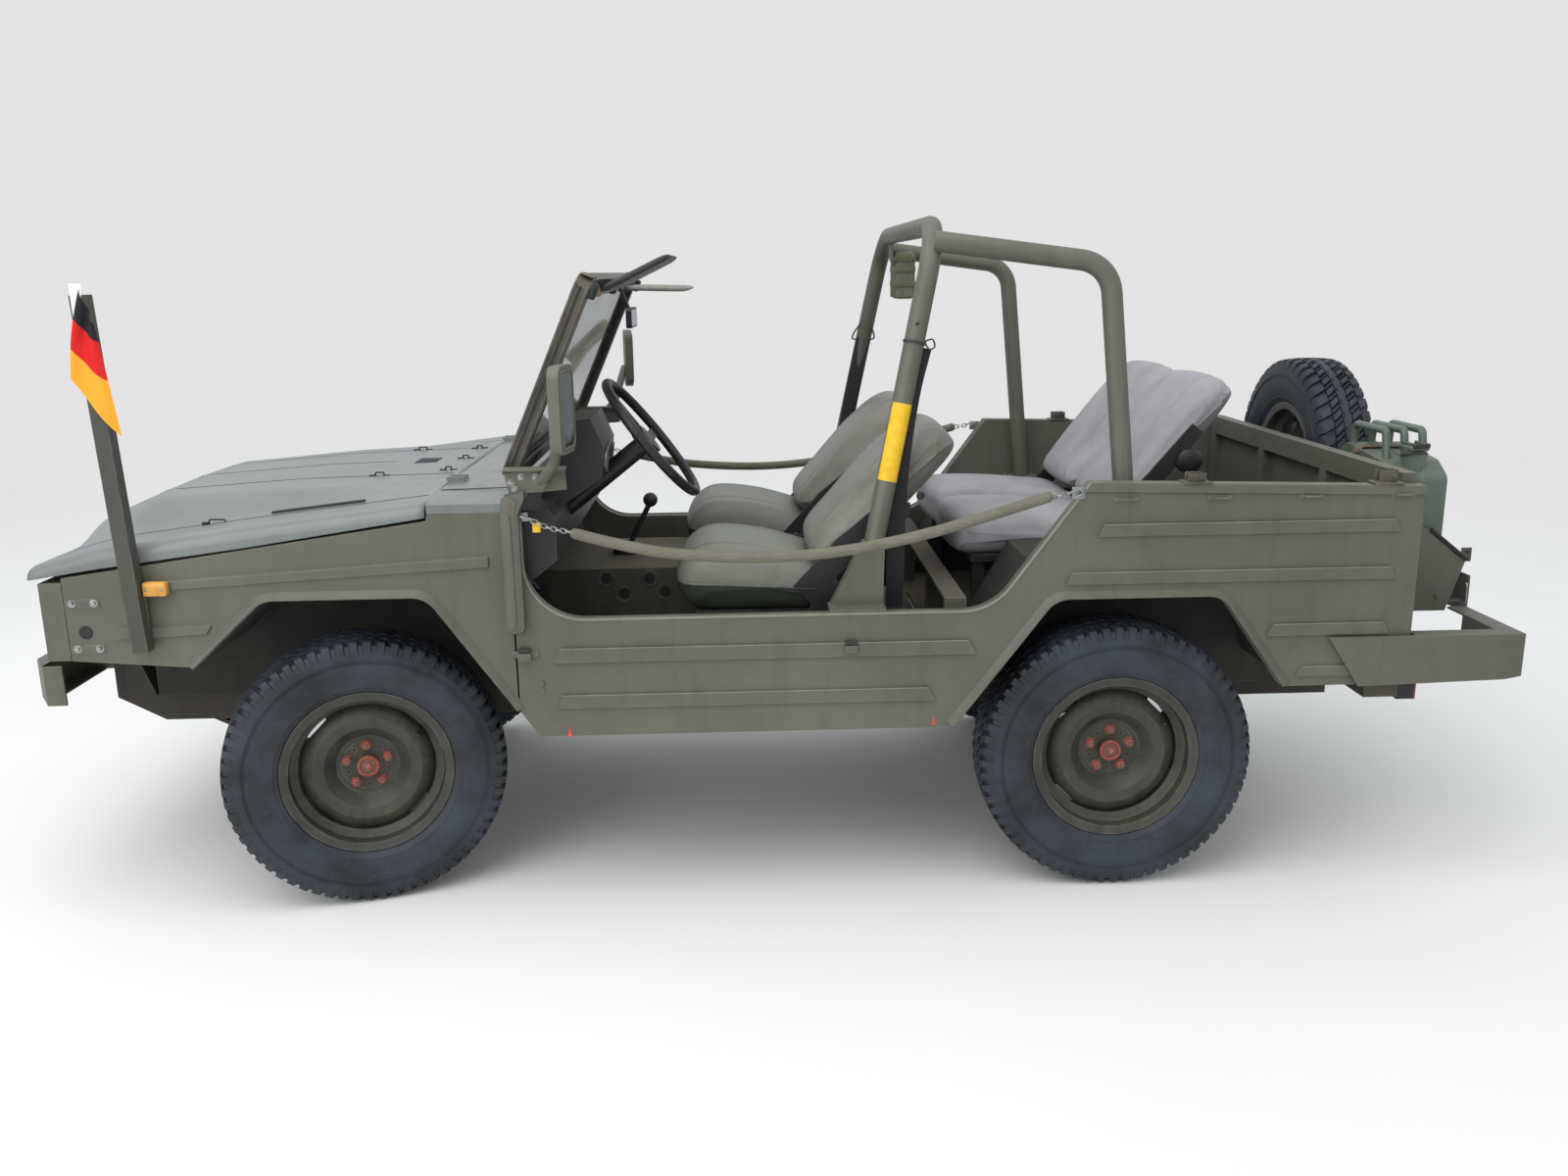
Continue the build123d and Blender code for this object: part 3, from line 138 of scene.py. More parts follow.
# Shared effects
def agedPaintGroup():
    tree, given, result = newGroup(
        "agedPaint",
        [("Paint", "Color", (0.1, 0.1, 0.1, 1)), ("Faded", "Color", (0.2, 0.2, 0.2, 1)),
         ("Dust", "Color", (0.3, 0.3, 0.3, 1)), ("Dust Level", "Float", 0.5), ("Streaks", "Float", 0.4),
         ("Wear", "Float", 0.4), ("Gloss", "Float", 0.5)],
        [("Color", "Color"), ("Roughness", "Float"), ("Height", "Float")])
    place = put(tree, "TexCoord").outputs["Object"]
    broad = noiseOf(tree, place, 2.3, 5.0, 0.6)
    mottle = noiseOf(tree, place, 19.0, 6.0, 0.62)
    speck = noiseOf(tree, place, 240.0, 2.0, 0.5)
    streak = noiseOf(tree, stretched(tree, place, (9.0, 9.0, 0.9)), 3.0, 5.0, 0.6)
    colour = blendColour(tree, spread(tree, broad, 0.36, 0.64), given["Paint"], given["Faded"])
    colour = blendColour(tree, spread(tree, mottle, 0.42, 0.78, 0.0, 0.45), colour, given["Faded"])
    streakShare = sums(tree, "MULTIPLY", spread(tree, streak, 0.5, 0.72), given["Streaks"])
    colour = blendColour(tree, streakShare, colour, given["Paint"], "MULTIPLY")
    geometry = put(tree, "NewGeometry")
    upward = put(tree, "SeparateXYZ", {0: geometry.outputs["Normal"]}).outputs[2]
    flat = spread(tree, upward, 0.35, 0.95)
    height = put(tree, "SeparateXYZ", {0: place}).outputs[2]
    low = spread(tree, height, 0.8, 0.4)
    low = sums(tree, "MULTIPLY", low, spread(tree, mottle, 0.3, 0.68))
    dust = sums(tree, "MULTIPLY", sums(tree, "MAXIMUM", flat, low), spread(tree, broad, 0.25, 0.7, 0.35, 1.0))
    dust = sums(tree, "MULTIPLY", dust, given["Dust Level"])
    colour = blendColour(tree, dust, colour, given["Dust"])
    soft = put(tree, "Bevel", {"Radius": 0.006}, samples=4).outputs[0]
    straight = put(tree, "VectorMath", {0: soft, 1: geometry.outputs["Normal"]},
                   operation="DOT_PRODUCT").outputs["Value"]
    edge = sums(tree, "MULTIPLY", spread(tree, straight, 0.985, 0.9), spread(tree, mottle, 0.42, 0.62))
    edge = sums(tree, "MULTIPLY", edge, given["Wear"])
    colour = blendColour(tree, edge, colour, tone(142, 138, 124))
    chip = sums(tree, "MULTIPLY", spread(tree, noiseOf(tree, place, 85.0, 3.0, 0.6), 0.7, 0.74), given["Wear"])
    colour = blendColour(tree, chip, colour, tone(58, 48, 38))
    gloss = sums(tree, "ADD", given["Gloss"], spread(tree, mottle, 0.3, 0.7, -0.06, 0.08))
    gloss = sums(tree, "ADD", gloss, sums(tree, "MULTIPLY", dust, 0.25))
    tree.links.new(colour, result["Color"])
    tree.links.new(gloss, result["Roughness"])
    tree.links.new(sums(tree, "ADD", sums(tree, "MULTIPLY", speck, 0.25), mottle), result["Height"])
    return tree


def weaveGroup():
    tree, given, result = newGroup(
        "weave", [("Vector", "Vector", (0, 0, 0)), ("Threads", "Float", 400.0),
                  ("Low", "Color", (0.1, 0.1, 0.1, 1)), ("High", "Color", (0.3, 0.3, 0.3, 1))],
        [("Color", "Color"), ("Height", "Float")])
    along = put(tree, "SeparateXYZ", {0: given["Vector"]}).outputs
    waves = []
    for axis in (0, 1):
        turns = sums(tree, "MULTIPLY", along[axis], given["Threads"])
        waves.append(sums(tree, "ABSOLUTE", sums(tree, "SINE", sums(tree, "MULTIPLY", turns, math.pi))))
    height = sums(tree, "MAXIMUM", waves[0], waves[1])
    cloud = noiseOf(tree, put(tree, "TexCoord").outputs["Object"], 26.0, 5.0, 0.65)
    colour = blendColour(tree, spread(tree, height, 0.55, 1.0), given["Low"], given["High"])
    colour = blendColour(tree, spread(tree, cloud, 0.35, 0.75, 0.0, 0.6), colour, given["Low"])
    tree.links.new(colour, result["Color"])
    tree.links.new(height, result["Height"])
    return tree


agedPaint = agedPaintGroup()
weave = weaveGroup()


def newMaterial(name, metallic=0.0, roughness=0.5, specular=0.5):
    made = bpy.data.materials.new(name)
    made.use_nodes = True
    tree = made.node_tree
    shader = tree.nodes["Principled BSDF"]
    shader.inputs["Metallic"].default_value = metallic
    shader.inputs["Roughness"].default_value = roughness
    shader.inputs["Specular IOR Level"].default_value = specular
    return made, tree, shader


def paintMaterial(name, values):
    made, tree, shader = newMaterial(name, specular=values.get("specular", 0.5))
    aged = put(tree, "Group", node_tree=agedPaint)
    for label, key in (("Paint", "paint"), ("Faded", "faded"), ("Dust", "dust")):
        aged.inputs[label].default_value = tone(*values[key])
    for label, key in (("Dust Level", "dustLevel"), ("Streaks", "streaks"), ("Wear", "wear"),
                       ("Gloss", "gloss")):
        aged.inputs[label].default_value = values[key]
    tree.links.new(aged.outputs["Color"], shader.inputs["Base Color"])
    tree.links.new(aged.outputs["Roughness"], shader.inputs["Roughness"])
    tree.links.new(bumpOf(tree, aged.outputs["Height"], values.get("bump", 0.12), 0.0006),
                   shader.inputs["Normal"])
    return made


paints = {
    "bodyPaint": {"paint": (84, 85, 73), "faded": (96, 97, 85), "dust": (112, 107, 93), "dustLevel": 0.25,
                  "streaks": 0.14, "wear": 0.3, "gloss": 0.5},
    # the bonnet's greyer paint, made lighter by a painted reflection of the sky
    "bonnetPaintAndSkySheen": {"paint": (106, 112, 110), "faded": (120, 126, 123), "dust": (126, 128, 120),
                    "dustLevel": 0.12, "streaks": 0.1, "wear": 0.3, "gloss": 0.3},
    "wheelPaint": {"paint": (44, 46, 39), "faded": (60, 61, 53), "dust": (86, 78, 66), "dustLevel": 0.38,
                   "streaks": 0.5, "wear": 0.5, "gloss": 0.48},
    "sparePaint": {"paint": (80, 83, 78), "faded": (102, 105, 99), "dust": (112, 108, 98), "dustLevel": 0.3,
                   "streaks": 0.4, "wear": 0.4, "gloss": 0.45},
    "floorPaint": {"paint": (62, 63, 54), "faded": (80, 78, 66), "dust": (104, 92, 74), "dustLevel": 0.65,
                   "streaks": 0.3, "wear": 0.6, "gloss": 0.66},
    "archPaint": {"paint": (36, 36, 32), "faded": (46, 45, 40), "dust": (62, 56, 47), "dustLevel": 0.5,
                  "streaks": 0.2, "wear": 0.3, "gloss": 0.75},
    "polePaint": {"paint": (52, 54, 46), "faded": (66, 68, 58), "dust": (90, 86, 74), "dustLevel": 0.2,
                  "streaks": 0.1, "wear": 0.4, "gloss": 0.5},
    "framePaint": {"paint": (36, 36, 33), "faded": (52, 50, 45), "dust": (84, 74, 62), "dustLevel": 0.6,
                   "streaks": 0.5, "wear": 0.5, "gloss": 0.7},
    "screenPaint": {"paint": (60, 57, 48), "faded": (78, 74, 62), "dust": (110, 104, 90), "dustLevel": 0.2,
                    "streaks": 0.4, "wear": 0.5, "gloss": 0.5},
    "canPaint": {"paint": (70, 84, 70), "faded": (90, 104, 90), "dust": (120, 122, 108), "dustLevel": 0.2,
                 "streaks": 0.3, "wear": 0.45, "gloss": 0.4},
    "blackPaint": {"paint": (26, 26, 26), "faded": (40, 40, 40), "dust": (92, 88, 80), "dustLevel": 0.25,
                   "streaks": 0.2, "wear": 0.25, "gloss": 0.46},
    # lighter edge paint: a painted highlight along the ribs' upper edges, also used on the beads round the door
    # openings
    "edgePaint": {"paint": (112, 113, 100), "faded": (130, 130, 116), "dust": (140, 134, 118), "dustLevel": 0.2,
                  "streaks": 0.2, "wear": 0.5, "gloss": 0.5},
    "navePaint": {"paint": (42, 44, 36), "faded": (56, 54, 46), "dust": (92, 70, 56), "dustLevel": 0.6,
                  "streaks": 0.5, "wear": 0.7, "gloss": 0.5},
    "ironGrey": {"paint": (58, 56, 52), "faded": (82, 78, 72), "dust": (104, 86, 66), "dustLevel": 0.6,
                 "streaks": 0.6, "wear": 0.6, "gloss": 0.62},
}
finish = {name: paintMaterial(name, values) for name, values in paints.items()}


def rubberMaterial():
    made, tree, shader = newMaterial("tyreRubber", specular=0.4)
    place = put(tree, "TexCoord").outputs["Object"]
    broad = noiseOf(tree, place, 6.0, 5.0, 0.6)
    fine = noiseOf(tree, place, 60.0, 5.0, 0.65)
    colour = blendColour(tree, spread(tree, broad, 0.35, 0.65), tone(26, 30, 35), tone(54, 61, 70))
    colour = blendColour(tree, spread(tree, fine, 0.56, 0.78, 0.0, 0.3), colour, tone(84, 84, 82))
    tree.links.new(colour, shader.inputs["Base Color"])
    tree.links.new(spread(tree, broad, 0.3, 0.7, 0.46, 0.68), shader.inputs["Roughness"])
    tree.links.new(bumpOf(tree, fine, 0.25, 0.001), shader.inputs["Normal"])
    return made


finish["tyreRubber"] = rubberMaterial()


def plainMaterial(name, low, high, roughness, scale=40.0, metallic=0.0, bump=0.15, specular=0.5):
    # a finish with a little colour variation and grain
    made, tree, shader = newMaterial(name, metallic=metallic, specular=specular)
    place = put(tree, "TexCoord").outputs["Object"]
    cloud = noiseOf(tree, place, scale, 5.0, 0.6)
    tree.links.new(blendColour(tree, spread(tree, cloud, 0.35, 0.68), tone(*low), tone(*high)),
                   shader.inputs["Base Color"])
    tree.links.new(spread(tree, cloud, 0.3, 0.7, roughness - 0.06, roughness + 0.1), shader.inputs["Roughness"])
    tree.links.new(bumpOf(tree, noiseOf(tree, place, scale * 8, 3.0), bump, 0.0005), shader.inputs["Normal"])
    return made


plainFinishes = {
    "blackPlastic": {"low": (20, 20, 21), "high": (36, 36, 38), "roughness": 0.42},
    "steel": {"low": (150, 150, 148), "high": (196, 196, 192), "roughness": 0.32, "metallic": 1.0},
    "galvanised": {"low": (128, 130, 128), "high": (168, 170, 168), "roughness": 0.42, "metallic": 0.85},
    "redPaint": {"low": (122, 58, 50), "high": (150, 78, 68), "roughness": 0.6},
    "amberLens": {"low": (196, 140, 52), "high": (222, 168, 84), "roughness": 0.3},
    "redLens": {"low": (120, 18, 14), "high": (150, 28, 20), "roughness": 0.25},
    "yellowTape": {"low": (226, 176, 22), "high": (240, 196, 40), "roughness": 0.5},
    "whiteWebbing": {"low": (206, 208, 210), "high": (236, 238, 240), "roughness": 0.7},
    "blackWebbing": {"low": (20, 20, 21), "high": (36, 36, 37), "roughness": 0.75},
    "brownStrap": {"low": (92, 70, 52), "high": (122, 98, 76), "roughness": 0.75},
    "mirrorGlass": {"low": (160, 166, 168), "high": (182, 188, 190), "roughness": 0.08, "metallic": 1.0,
                    "bump": 0.0},
    "darkMirror": {"low": (76, 86, 78), "high": (96, 104, 96), "roughness": 0.08, "metallic": 1.0, "bump": 0.0},
    "fadedRed": {"low": (140, 70, 62), "high": (168, 96, 86), "roughness": 0.6},
    "rustyHub": {"low": (92, 68, 58), "high": (126, 96, 82), "roughness": 0.7, "scale": 160.0},
    # near-black for rubber parts, and as painted shade in holes and grooves
    "blackRubber": {"low": (24, 24, 24), "high": (42, 41, 40), "roughness": 0.65},
    "visorVinyl": {"low": (30, 31, 28), "high": (46, 46, 42), "roughness": 0.5},
    "visorGrey": {"low": (116, 116, 108), "high": (134, 134, 126), "roughness": 0.55},
    "brassEnd": {"low": (128, 110, 66), "high": (150, 130, 84), "roughness": 0.5, "metallic": 0.6},
    "pouchWebbing": {"low": (86, 88, 66), "high": (108, 108, 84), "roughness": 0.85, "bump": 0.4},
    "pipingVinyl": {"low": (70, 76, 68), "high": (96, 100, 92), "roughness": 0.4},
    "jackRed": {"low": (186, 60, 52), "high": (204, 84, 74), "roughness": 0.6},
    "grooveShade": {"low": (30, 34, 36), "high": (44, 48, 50), "roughness": 0.7},
    "greyKnob": {"low": (96, 96, 94), "high": (122, 122, 120), "roughness": 0.45},
}
for name, values in plainFinishes.items():
    finish[name] = plainMaterial(name, **values)


def vinylMaterial(name, low, high, dark):
    # creased vinyl: fine cells for the grain, broad soft creases, darker rubbed patches
    made, tree, shader = newMaterial(name, specular=0.5)
    place = put(tree, "TexCoord").outputs["Object"]
    cloud = noiseOf(tree, place, 7.0, 5.0, 0.6)
    crease = noiseOf(tree, stretched(tree, place, (1.0, 2.4, 1.0)), 11.0, 4.0, 0.55)
    grain = put(tree, "TexVoronoi", {"Vector": place, "Scale": 620.0}, feature="DISTANCE_TO_EDGE").outputs[0]
    colour = blendColour(tree, spread(tree, cloud, 0.35, 0.66), tone(*low), tone(*high))
    colour = blendColour(tree, spread(tree, noiseOf(tree, place, 30.0, 6.0, 0.7), 0.55, 0.8, 0.0, 0.5), colour,
                         tone(*dark))
    tree.links.new(colour, shader.inputs["Base Color"])
    tree.links.new(spread(tree, cloud, 0.3, 0.7, 0.36, 0.5), shader.inputs["Roughness"])
    height = sums(tree, "ADD", sums(tree, "MULTIPLY", crease, 6.0), spread(tree, grain, 0.0, 0.25, 0.0, 0.35))
    tree.links.new(bumpOf(tree, height, 0.35, 0.0012), shader.inputs["Normal"])
    return made


finish["frontVinyl"] = vinylMaterial("frontVinyl", (102, 104, 93), (120, 122, 111), (84, 84, 74))
finish["skirtVinyl"] = vinylMaterial("skirtVinyl", (52, 58, 50), (68, 74, 65), (40, 44, 38))
finish["rearVinyl"] = vinylMaterial("rearVinyl", (134, 132, 137), (156, 154, 159), (112, 109, 112))


def glassMaterial():
    made, tree, shader = newMaterial("screenGlass", roughness=0.04)
    shader.inputs["Transmission Weight"].default_value = 1.0
    shader.inputs["IOR"].default_value = 1.2
    place = put(tree, "TexCoord").outputs["Object"]
    film = spread(tree, noiseOf(tree, place, 5.0, 6.0, 0.65), 0.3, 0.75)
    tree.links.new(blendColour(tree, film, tone(176, 177, 168), tone(138, 136, 126)),
                   shader.inputs["Base Color"])
    return made


finish["screenGlass"] = glassMaterial()


def lampGlassMaterial():
    # clear glass moulded in upright ribs, over a bright reflector
    made, tree, shader = newMaterial("lampGlass", roughness=0.12)
    shader.inputs["Coat Weight"].default_value = 1.0
    shader.inputs["Metallic"].default_value = 0.75
    place = put(tree, "TexCoord").outputs["Object"]
    ribs = put(tree, "TexWave", {"Vector": place, "Scale": 26.0, "Distortion": 0.6},
               bands_direction="Y").outputs[1]
    tree.links.new(blendColour(tree, ribs, tone(150, 154, 156), tone(206, 210, 210)),
                   shader.inputs["Base Color"])
    tree.links.new(bumpOf(tree, ribs, 0.5, 0.002), shader.inputs["Normal"])
    return made


finish["lampGlass"] = lampGlassMaterial()


def canvasMaterial():
    # woven cotton whose threads run along the car and across it
    made, tree, shader = newMaterial("strapCanvas", roughness=0.85, specular=0.2)
    place = put(tree, "TexCoord").outputs["Object"]
    woven = put(tree, "Group", {"Vector": place, "Threads": 700.0, "Low": tone(98, 96, 82),
                                "High": tone(128, 126, 112)}, node_tree=weave)
    tree.links.new(woven.outputs["Color"], shader.inputs["Base Color"])
    tree.links.new(bumpOf(tree, woven.outputs["Height"], 0.4, 0.0008), shader.inputs["Normal"])
    return made


finish["strapCanvas"] = canvasMaterial()


def flagMaterial(name, low, high):
    # woven cloth whose threads run along the car and upright
    made, tree, shader = newMaterial(name, roughness=0.75, specular=0.25)
    cloth = put(tree, "SeparateXYZ", {0: put(tree, "TexCoord").outputs["Object"]}).outputs
    flat = put(tree, "CombineXYZ", {0: cloth[0], 1: cloth[2], 2: 0.0}).outputs[0]
    woven = put(tree, "Group", {"Vector": flat, "Threads": 900.0, "Low": tone(*low), "High": tone(*high)},
                node_tree=weave)
    tree.links.new(woven.outputs["Color"], shader.inputs["Base Color"])
    tree.links.new(bumpOf(tree, woven.outputs["Height"], 0.3, 0.0005), shader.inputs["Normal"])
    return made


for name, low, high in (("flagBlack", (24, 24, 28), (44, 44, 50)), ("flagRed", (196, 24, 26), (222, 40, 38)),
                        ("flagGold", (236, 148, 30), (250, 176, 60)),
                        ("flagWhite", (214, 216, 222), (240, 241, 244))):
    finish[name] = flagMaterial(name, low, high)
print("materials made")


# Meshes: a part is its points and its faces; several parts with their finishes make one piece
def gridFaces(rows, columns, rowsWrap=False, columnsWrap=True):
    # four-sided faces between neighbouring points of a grid, wrapped round where asked
    r, c = np.meshgrid(np.arange(rows if rowsWrap else rows - 1),
                       np.arange(columns if columnsWrap else columns - 1), indexing="ij")
    nextR, nextC = (r + 1) % rows, (c + 1) % columns
    quads = np.stack([r * columns + c, r * columns + nextC, nextR * columns + nextC, nextR * columns + c],
                     axis=-1)
    return quads.reshape(-1, 4).tolist()


def gridPart(points, rowsWrap=False, columnsWrap=True, capped=True):
    # points in rows and columns; open ends of wrapped columns are closed with one face each
    rows, columns = points.shape[:2]
    faces = gridFaces(rows, columns, rowsWrap, columnsWrap)
    if capped and columnsWrap and not rowsWrap:
        faces += [list(range(columns))[::-1], list(range((rows - 1) * columns, rows * columns))]
    return points.reshape(-1, 3), faces


def carried(path, section, up=(0, 0, 1), closed=False, size=None, capped=True):
    # a section of (side, upper) points carried along a path: each ring is the path's point plus its side and
    # upper directions times the section, and size scales it from point to point
    path = np.array(path, float)
    section = np.array(section, float)
    along = np.roll(path, -1, 0) - np.roll(path, 1, 0) if closed else np.gradient(path, axis=0)
    along /= np.linalg.norm(along, axis=1, keepdims=True)
    side = np.cross(along, np.broadcast_to(np.array(up, float), path.shape))
    side /= np.linalg.norm(side, axis=1, keepdims=True)
    upper = np.cross(side, along)
    scale = np.ones(len(path)) if size is None else np.array(size, float)
    rings = (path[:, None] + scale[:, None, None] * (section[None, :, :1] * side[:, None]
                                                     + section[None, :, 1:] * upper[:, None]))
    return gridPart(rings, rowsWrap=closed, capped=capped)


def circle(radius, sides=12):
    turn = np.arange(sides) * 2 * math.pi / sides
    return np.stack([radius * np.cos(turn), radius * np.sin(turn)], axis=1)


def roundedRect(width, height, corner, steps=3):
    # a rectangle's outline with quarter circles at its corners
    turn = np.linspace(0, math.pi / 2, steps + 1)
    quarter = corner * np.stack([np.cos(turn), np.sin(turn)], axis=1)
    out = []
    for n, (sx, sy) in enumerate(((1, 1), (-1, 1), (-1, -1), (1, -1))):
        angle = n * math.pi / 2
        turned = quarter @ np.array([[math.cos(angle), math.sin(angle)], [-math.sin(angle), math.cos(angle)]])
        out.append(turned + np.array([sx * (width / 2 - corner), sy * (height / 2 - corner)]))
    return np.concatenate(out)


def smoothPath(points, count, closed=False):
    # points on a curve through the given ones, by cubic steps whose slopes come from their neighbours
    points = np.array(points, float)
    n = len(points)
    if closed:
        slope = (np.roll(points, -1, 0) - np.roll(points, 1, 0)) / 2
    else:
        slope = np.gradient(points, axis=0)
    place = np.linspace(0, n if closed else n - 1, count, endpoint=not closed)
    step = np.minimum(place.astype(int), n - 1 if closed else n - 2)
    t = (place - step)[:, None]
    nextStep = (step + 1) % n
    a, b, ga, gb = points[step], points[nextStep], slope[step], slope[nextStep]
    return ((2 * t**3 - 3 * t**2 + 1) * a + (t**3 - 2 * t**2 + t) * ga
            + (-2 * t**3 + 3 * t**2) * b + (t**3 - t**2) * gb)


def filleted(points, radius, steps=6):
    # a path whose inner corners become arcs: each arc is spread evenly over its angle about its own centre
    points = np.array(points, float)
    out = [points[:1]]
    for before, corner, after, r in zip(points, points[1:], points[2:],
                                        np.broadcast_to(radius, len(points) - 2)):
        a, b = before - corner, after - corner
        a, b = a / np.linalg.norm(a), b / np.linalg.norm(b)
        half = math.acos(float(np.clip(a @ b, -1, 1))) / 2
        if r <= 0 or half > 1.55:
            out.append(corner[None])
            continue
        centre = corner + (a + b) / np.linalg.norm(a + b) * r / math.sin(half)
        start, end = corner + a * r / math.tan(half) - centre, corner + b * r / math.tan(half) - centre
        t, angle = np.linspace(0, 1, steps + 1)[:, None], math.pi - 2 * half
        out.append(centre + (np.sin((1 - t) * angle) * start + np.sin(t * angle) * end) / math.sin(angle))
    return np.concatenate(out + [points[-1:]])


def atSide(y, points):
    # (x, z) points set in an upright plane at a distance to the car's side
    return [(x, y, z) for x, z in points]


def turnedPart(profile, centre, axis, sides=32, ring=False):
    # a profile of (radius, distance) turned about an axis through the centre; a ring's profile closes on itself
    axis = np.array(axis, float) / np.linalg.norm(axis)
    first = np.cross(axis, (0.0, 0.0, 1.0) if abs(axis[2]) < 0.9 else (1.0, 0.0, 0.0))
    first /= np.linalg.norm(first)
    second = np.cross(axis, first)
    turn = np.arange(sides) * 2 * math.pi / sides
    spokes = np.cos(turn)[:, None] * first + np.sin(turn)[:, None] * second
    profile = np.array(profile, float)
    rings = (np.array(centre) + profile[:, 0, None, None] * spokes[None] + profile[:, 1, None, None] * axis)
    return gridPart(rings, rowsWrap=ring)


def slab(low, high, edge=0.001):
    # a box with its edges taken off: eight rings of a rounded rectangle, smaller at both ends
    low, high = np.array(low, float), np.array(high, float)
    size = high - low
    edge = min(edge, *(size / 2.01))
    middle = (low + high) / 2
    rings = []
    for z, inset in ((low[2], edge), (low[2] + edge * 0.3, edge * 0.3), (low[2] + edge, 0), (high[2] - edge, 0),
                     (high[2] - edge * 0.3, edge * 0.3), (high[2], edge)):
        outline = roundedRect(size[0] - 2 * inset, size[1] - 2 * inset, edge * 1.01, 2)
        rings.append(np.column_stack([outline + middle[:2], np.full(len(outline), z)]))
    return gridPart(np.array(rings))


def platePart(outline, low, high, edge=0.001, plane="xz"):
    # a flat outline given thickness along the third direction, with a small bevel at both faces
    outline = np.array(outline, float)
    middle = outline.mean(axis=0)
    away = outline - middle
    reach = np.linalg.norm(away, axis=1, keepdims=True)
    inner = outline - away / reach * edge
    rings = []
    for level, ring in ((low, inner), (low + edge, outline), (high - edge, outline), (high, inner)):
        third = np.full(len(ring), level)
        columns = {"xz": (ring[:, 0], third, ring[:, 1]), "yz": (third, ring[:, 0], ring[:, 1])}
        rings.append(np.column_stack(columns[plane]))
    return gridPart(np.array(rings))


def moved(part, matrix):
    # a part's points taken through a matrix
    matrix = np.array(matrix)
    return part[0] @ matrix[:3, :3].T + matrix[:3, 3], part[1]


def joined(parts):
    # several parts as one
    points, faces, start = [], [], 0
    for spots, quads in parts:
        points.append(spots)
        faces += [[corner + start for corner in face] for face in quads]
        start += len(spots)
    return np.concatenate(points), faces


def mirroredPart(part):
    # the same part on the car's other side, with its faces turned back to point out
    return part[0] * np.array([1, -1, 1]), [face[::-1] for face in part[1]]


def bothSides(parts):
    return parts + [(mirroredPart(part), *rest) for part, *rest in parts]


def makePiece(name, parts, body, stands=(), smooth=38, closed=True, weld=0.0, facing=None):
    # parts are (part, finish name) pairs; their points are joined in one mesh, and normals point out, or an
    # open sheet's mostly towards facing
    points, faces, marks, names, start = [], [], [], [], 0
    for (spots, quads), finishName in parts:
        if finishName not in names:
            names.append(finishName)
        points.append(spots)
        faces += [[corner + start for corner in face] for face in quads]
        marks += [names.index(finishName)] * len(quads)
        start += len(spots)
    mesh = bpy.data.meshes.new(name)
    mesh.from_pydata(np.concatenate(points).tolist(), [], faces)
    for finishName in names:
        mesh.materials.append(finish[finishName])
    mesh.polygons.foreach_set("material_index", marks)
    if closed or weld:
        work = bmesh.new()
        work.from_mesh(mesh)
        if weld:
            bmesh.ops.remove_doubles(work, verts=work.verts, dist=weld)
        bmesh.ops.recalc_face_normals(work, faces=work.faces)
        work.to_mesh(mesh)
        work.free()
    if facing is not None:
        directions = np.empty(len(mesh.polygons) * 3)
        mesh.polygons.foreach_get("normal", directions)
        if (directions.reshape(-1, 3) @ np.array(facing)).sum() < 0:
            mesh.flip_normals()
    mesh.shade_smooth()
    if smooth < 180:
        mesh.set_sharp_from_angle(angle=math.radians(smooth))
    return placePiece(name, mesh, body, stands)


def placePiece(name, data, body, stands=()):
    # an object at the origin that rides on a body and stands for the named CAD nodes
    piece = bpy.data.objects.new(name, data)
    bpy.context.scene.collection.objects.link(piece)
    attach(piece, body)
    if stands:
        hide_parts(*stands)
    return piece


def wallOf(piece, thickness, offset=-1.0):
    wall = piece.modifiers.new("sheetThickness", "SOLIDIFY")
    wall.thickness = thickness
    wall.offset = offset
    wall.use_even_offset = True
    return piece


def dressed(node, finishName, width=0.0015, angle=32):
    # a merged copy of a CAD node with its sharp edges rounded
    source = frame["nodes"][node]
    mesh = source.data.copy()
    mesh.name = node + "Dressed"
    work = bmesh.new()
    work.from_mesh(mesh)
    bmesh.ops.remove_doubles(work, verts=work.verts, dist=1e-5)
    bmesh.ops.dissolve_limit(work, angle_limit=math.radians(0.6), verts=work.verts, edges=work.edges)
    work.to_mesh(mesh)
    work.free()
    mesh.materials.clear()
    mesh.materials.append(finish[finishName])
    mesh.shade_smooth()
    mesh.set_sharp_from_angle(angle=math.radians(angle))
    piece = placePiece(node + "Dressed", mesh, source["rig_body"], [node])
    if width:
        rounding = piece.modifiers.new("roundedEdges", "BEVEL")
        rounding.width = width
        rounding.segments = 2
        rounding.limit_method = "ANGLE"
        rounding.angle_limit = math.radians(angle)
        rounding.harden_normals = True
    return piece


# Straps across the door openings, on the CAD's own route
strapRoute = [(0.485, 0.752, 1.008), (0.330, 0.776, 0.968), (0.165, 0.782, 0.950), (0.010, 0.784, 0.944),
              (-0.145, 0.784, 0.952), (-0.295, 0.782, 0.975), (-0.430, 0.778, 1.006), (-0.560, 0.770, 1.042),
              (-0.690, 0.756, 1.078)]
strapValues = {"radius": 0.014, "length": 1.2}


def makeStrap(name, side):
    curve = bpy.data.curves.new(name, "CURVE")
    curve.dimensions = "3D"
    line = curve.splines.new("NURBS")
    line.points.add(len(strapRoute) - 1)
    route = np.array(strapRoute) * (1, side, 1)
    line.points.foreach_set("co", np.column_stack([route, np.ones(len(route))]).ravel())
    line.order_u = 3
    line.use_endpoint_u = True
    curve.bevel_depth = strapValues["radius"]
    curve.bevel_resolution = 5
    curve.use_fill_caps = True
    curve.materials.append(finish["strapCanvas"])
    piece = placePiece(name, curve, "body")
    return piece, route


# Chains, clips and ferrules at the straps' ends
chainValues = {"link": 0.017, "width": 0.0105, "wire": 0.0016, "count": 9}


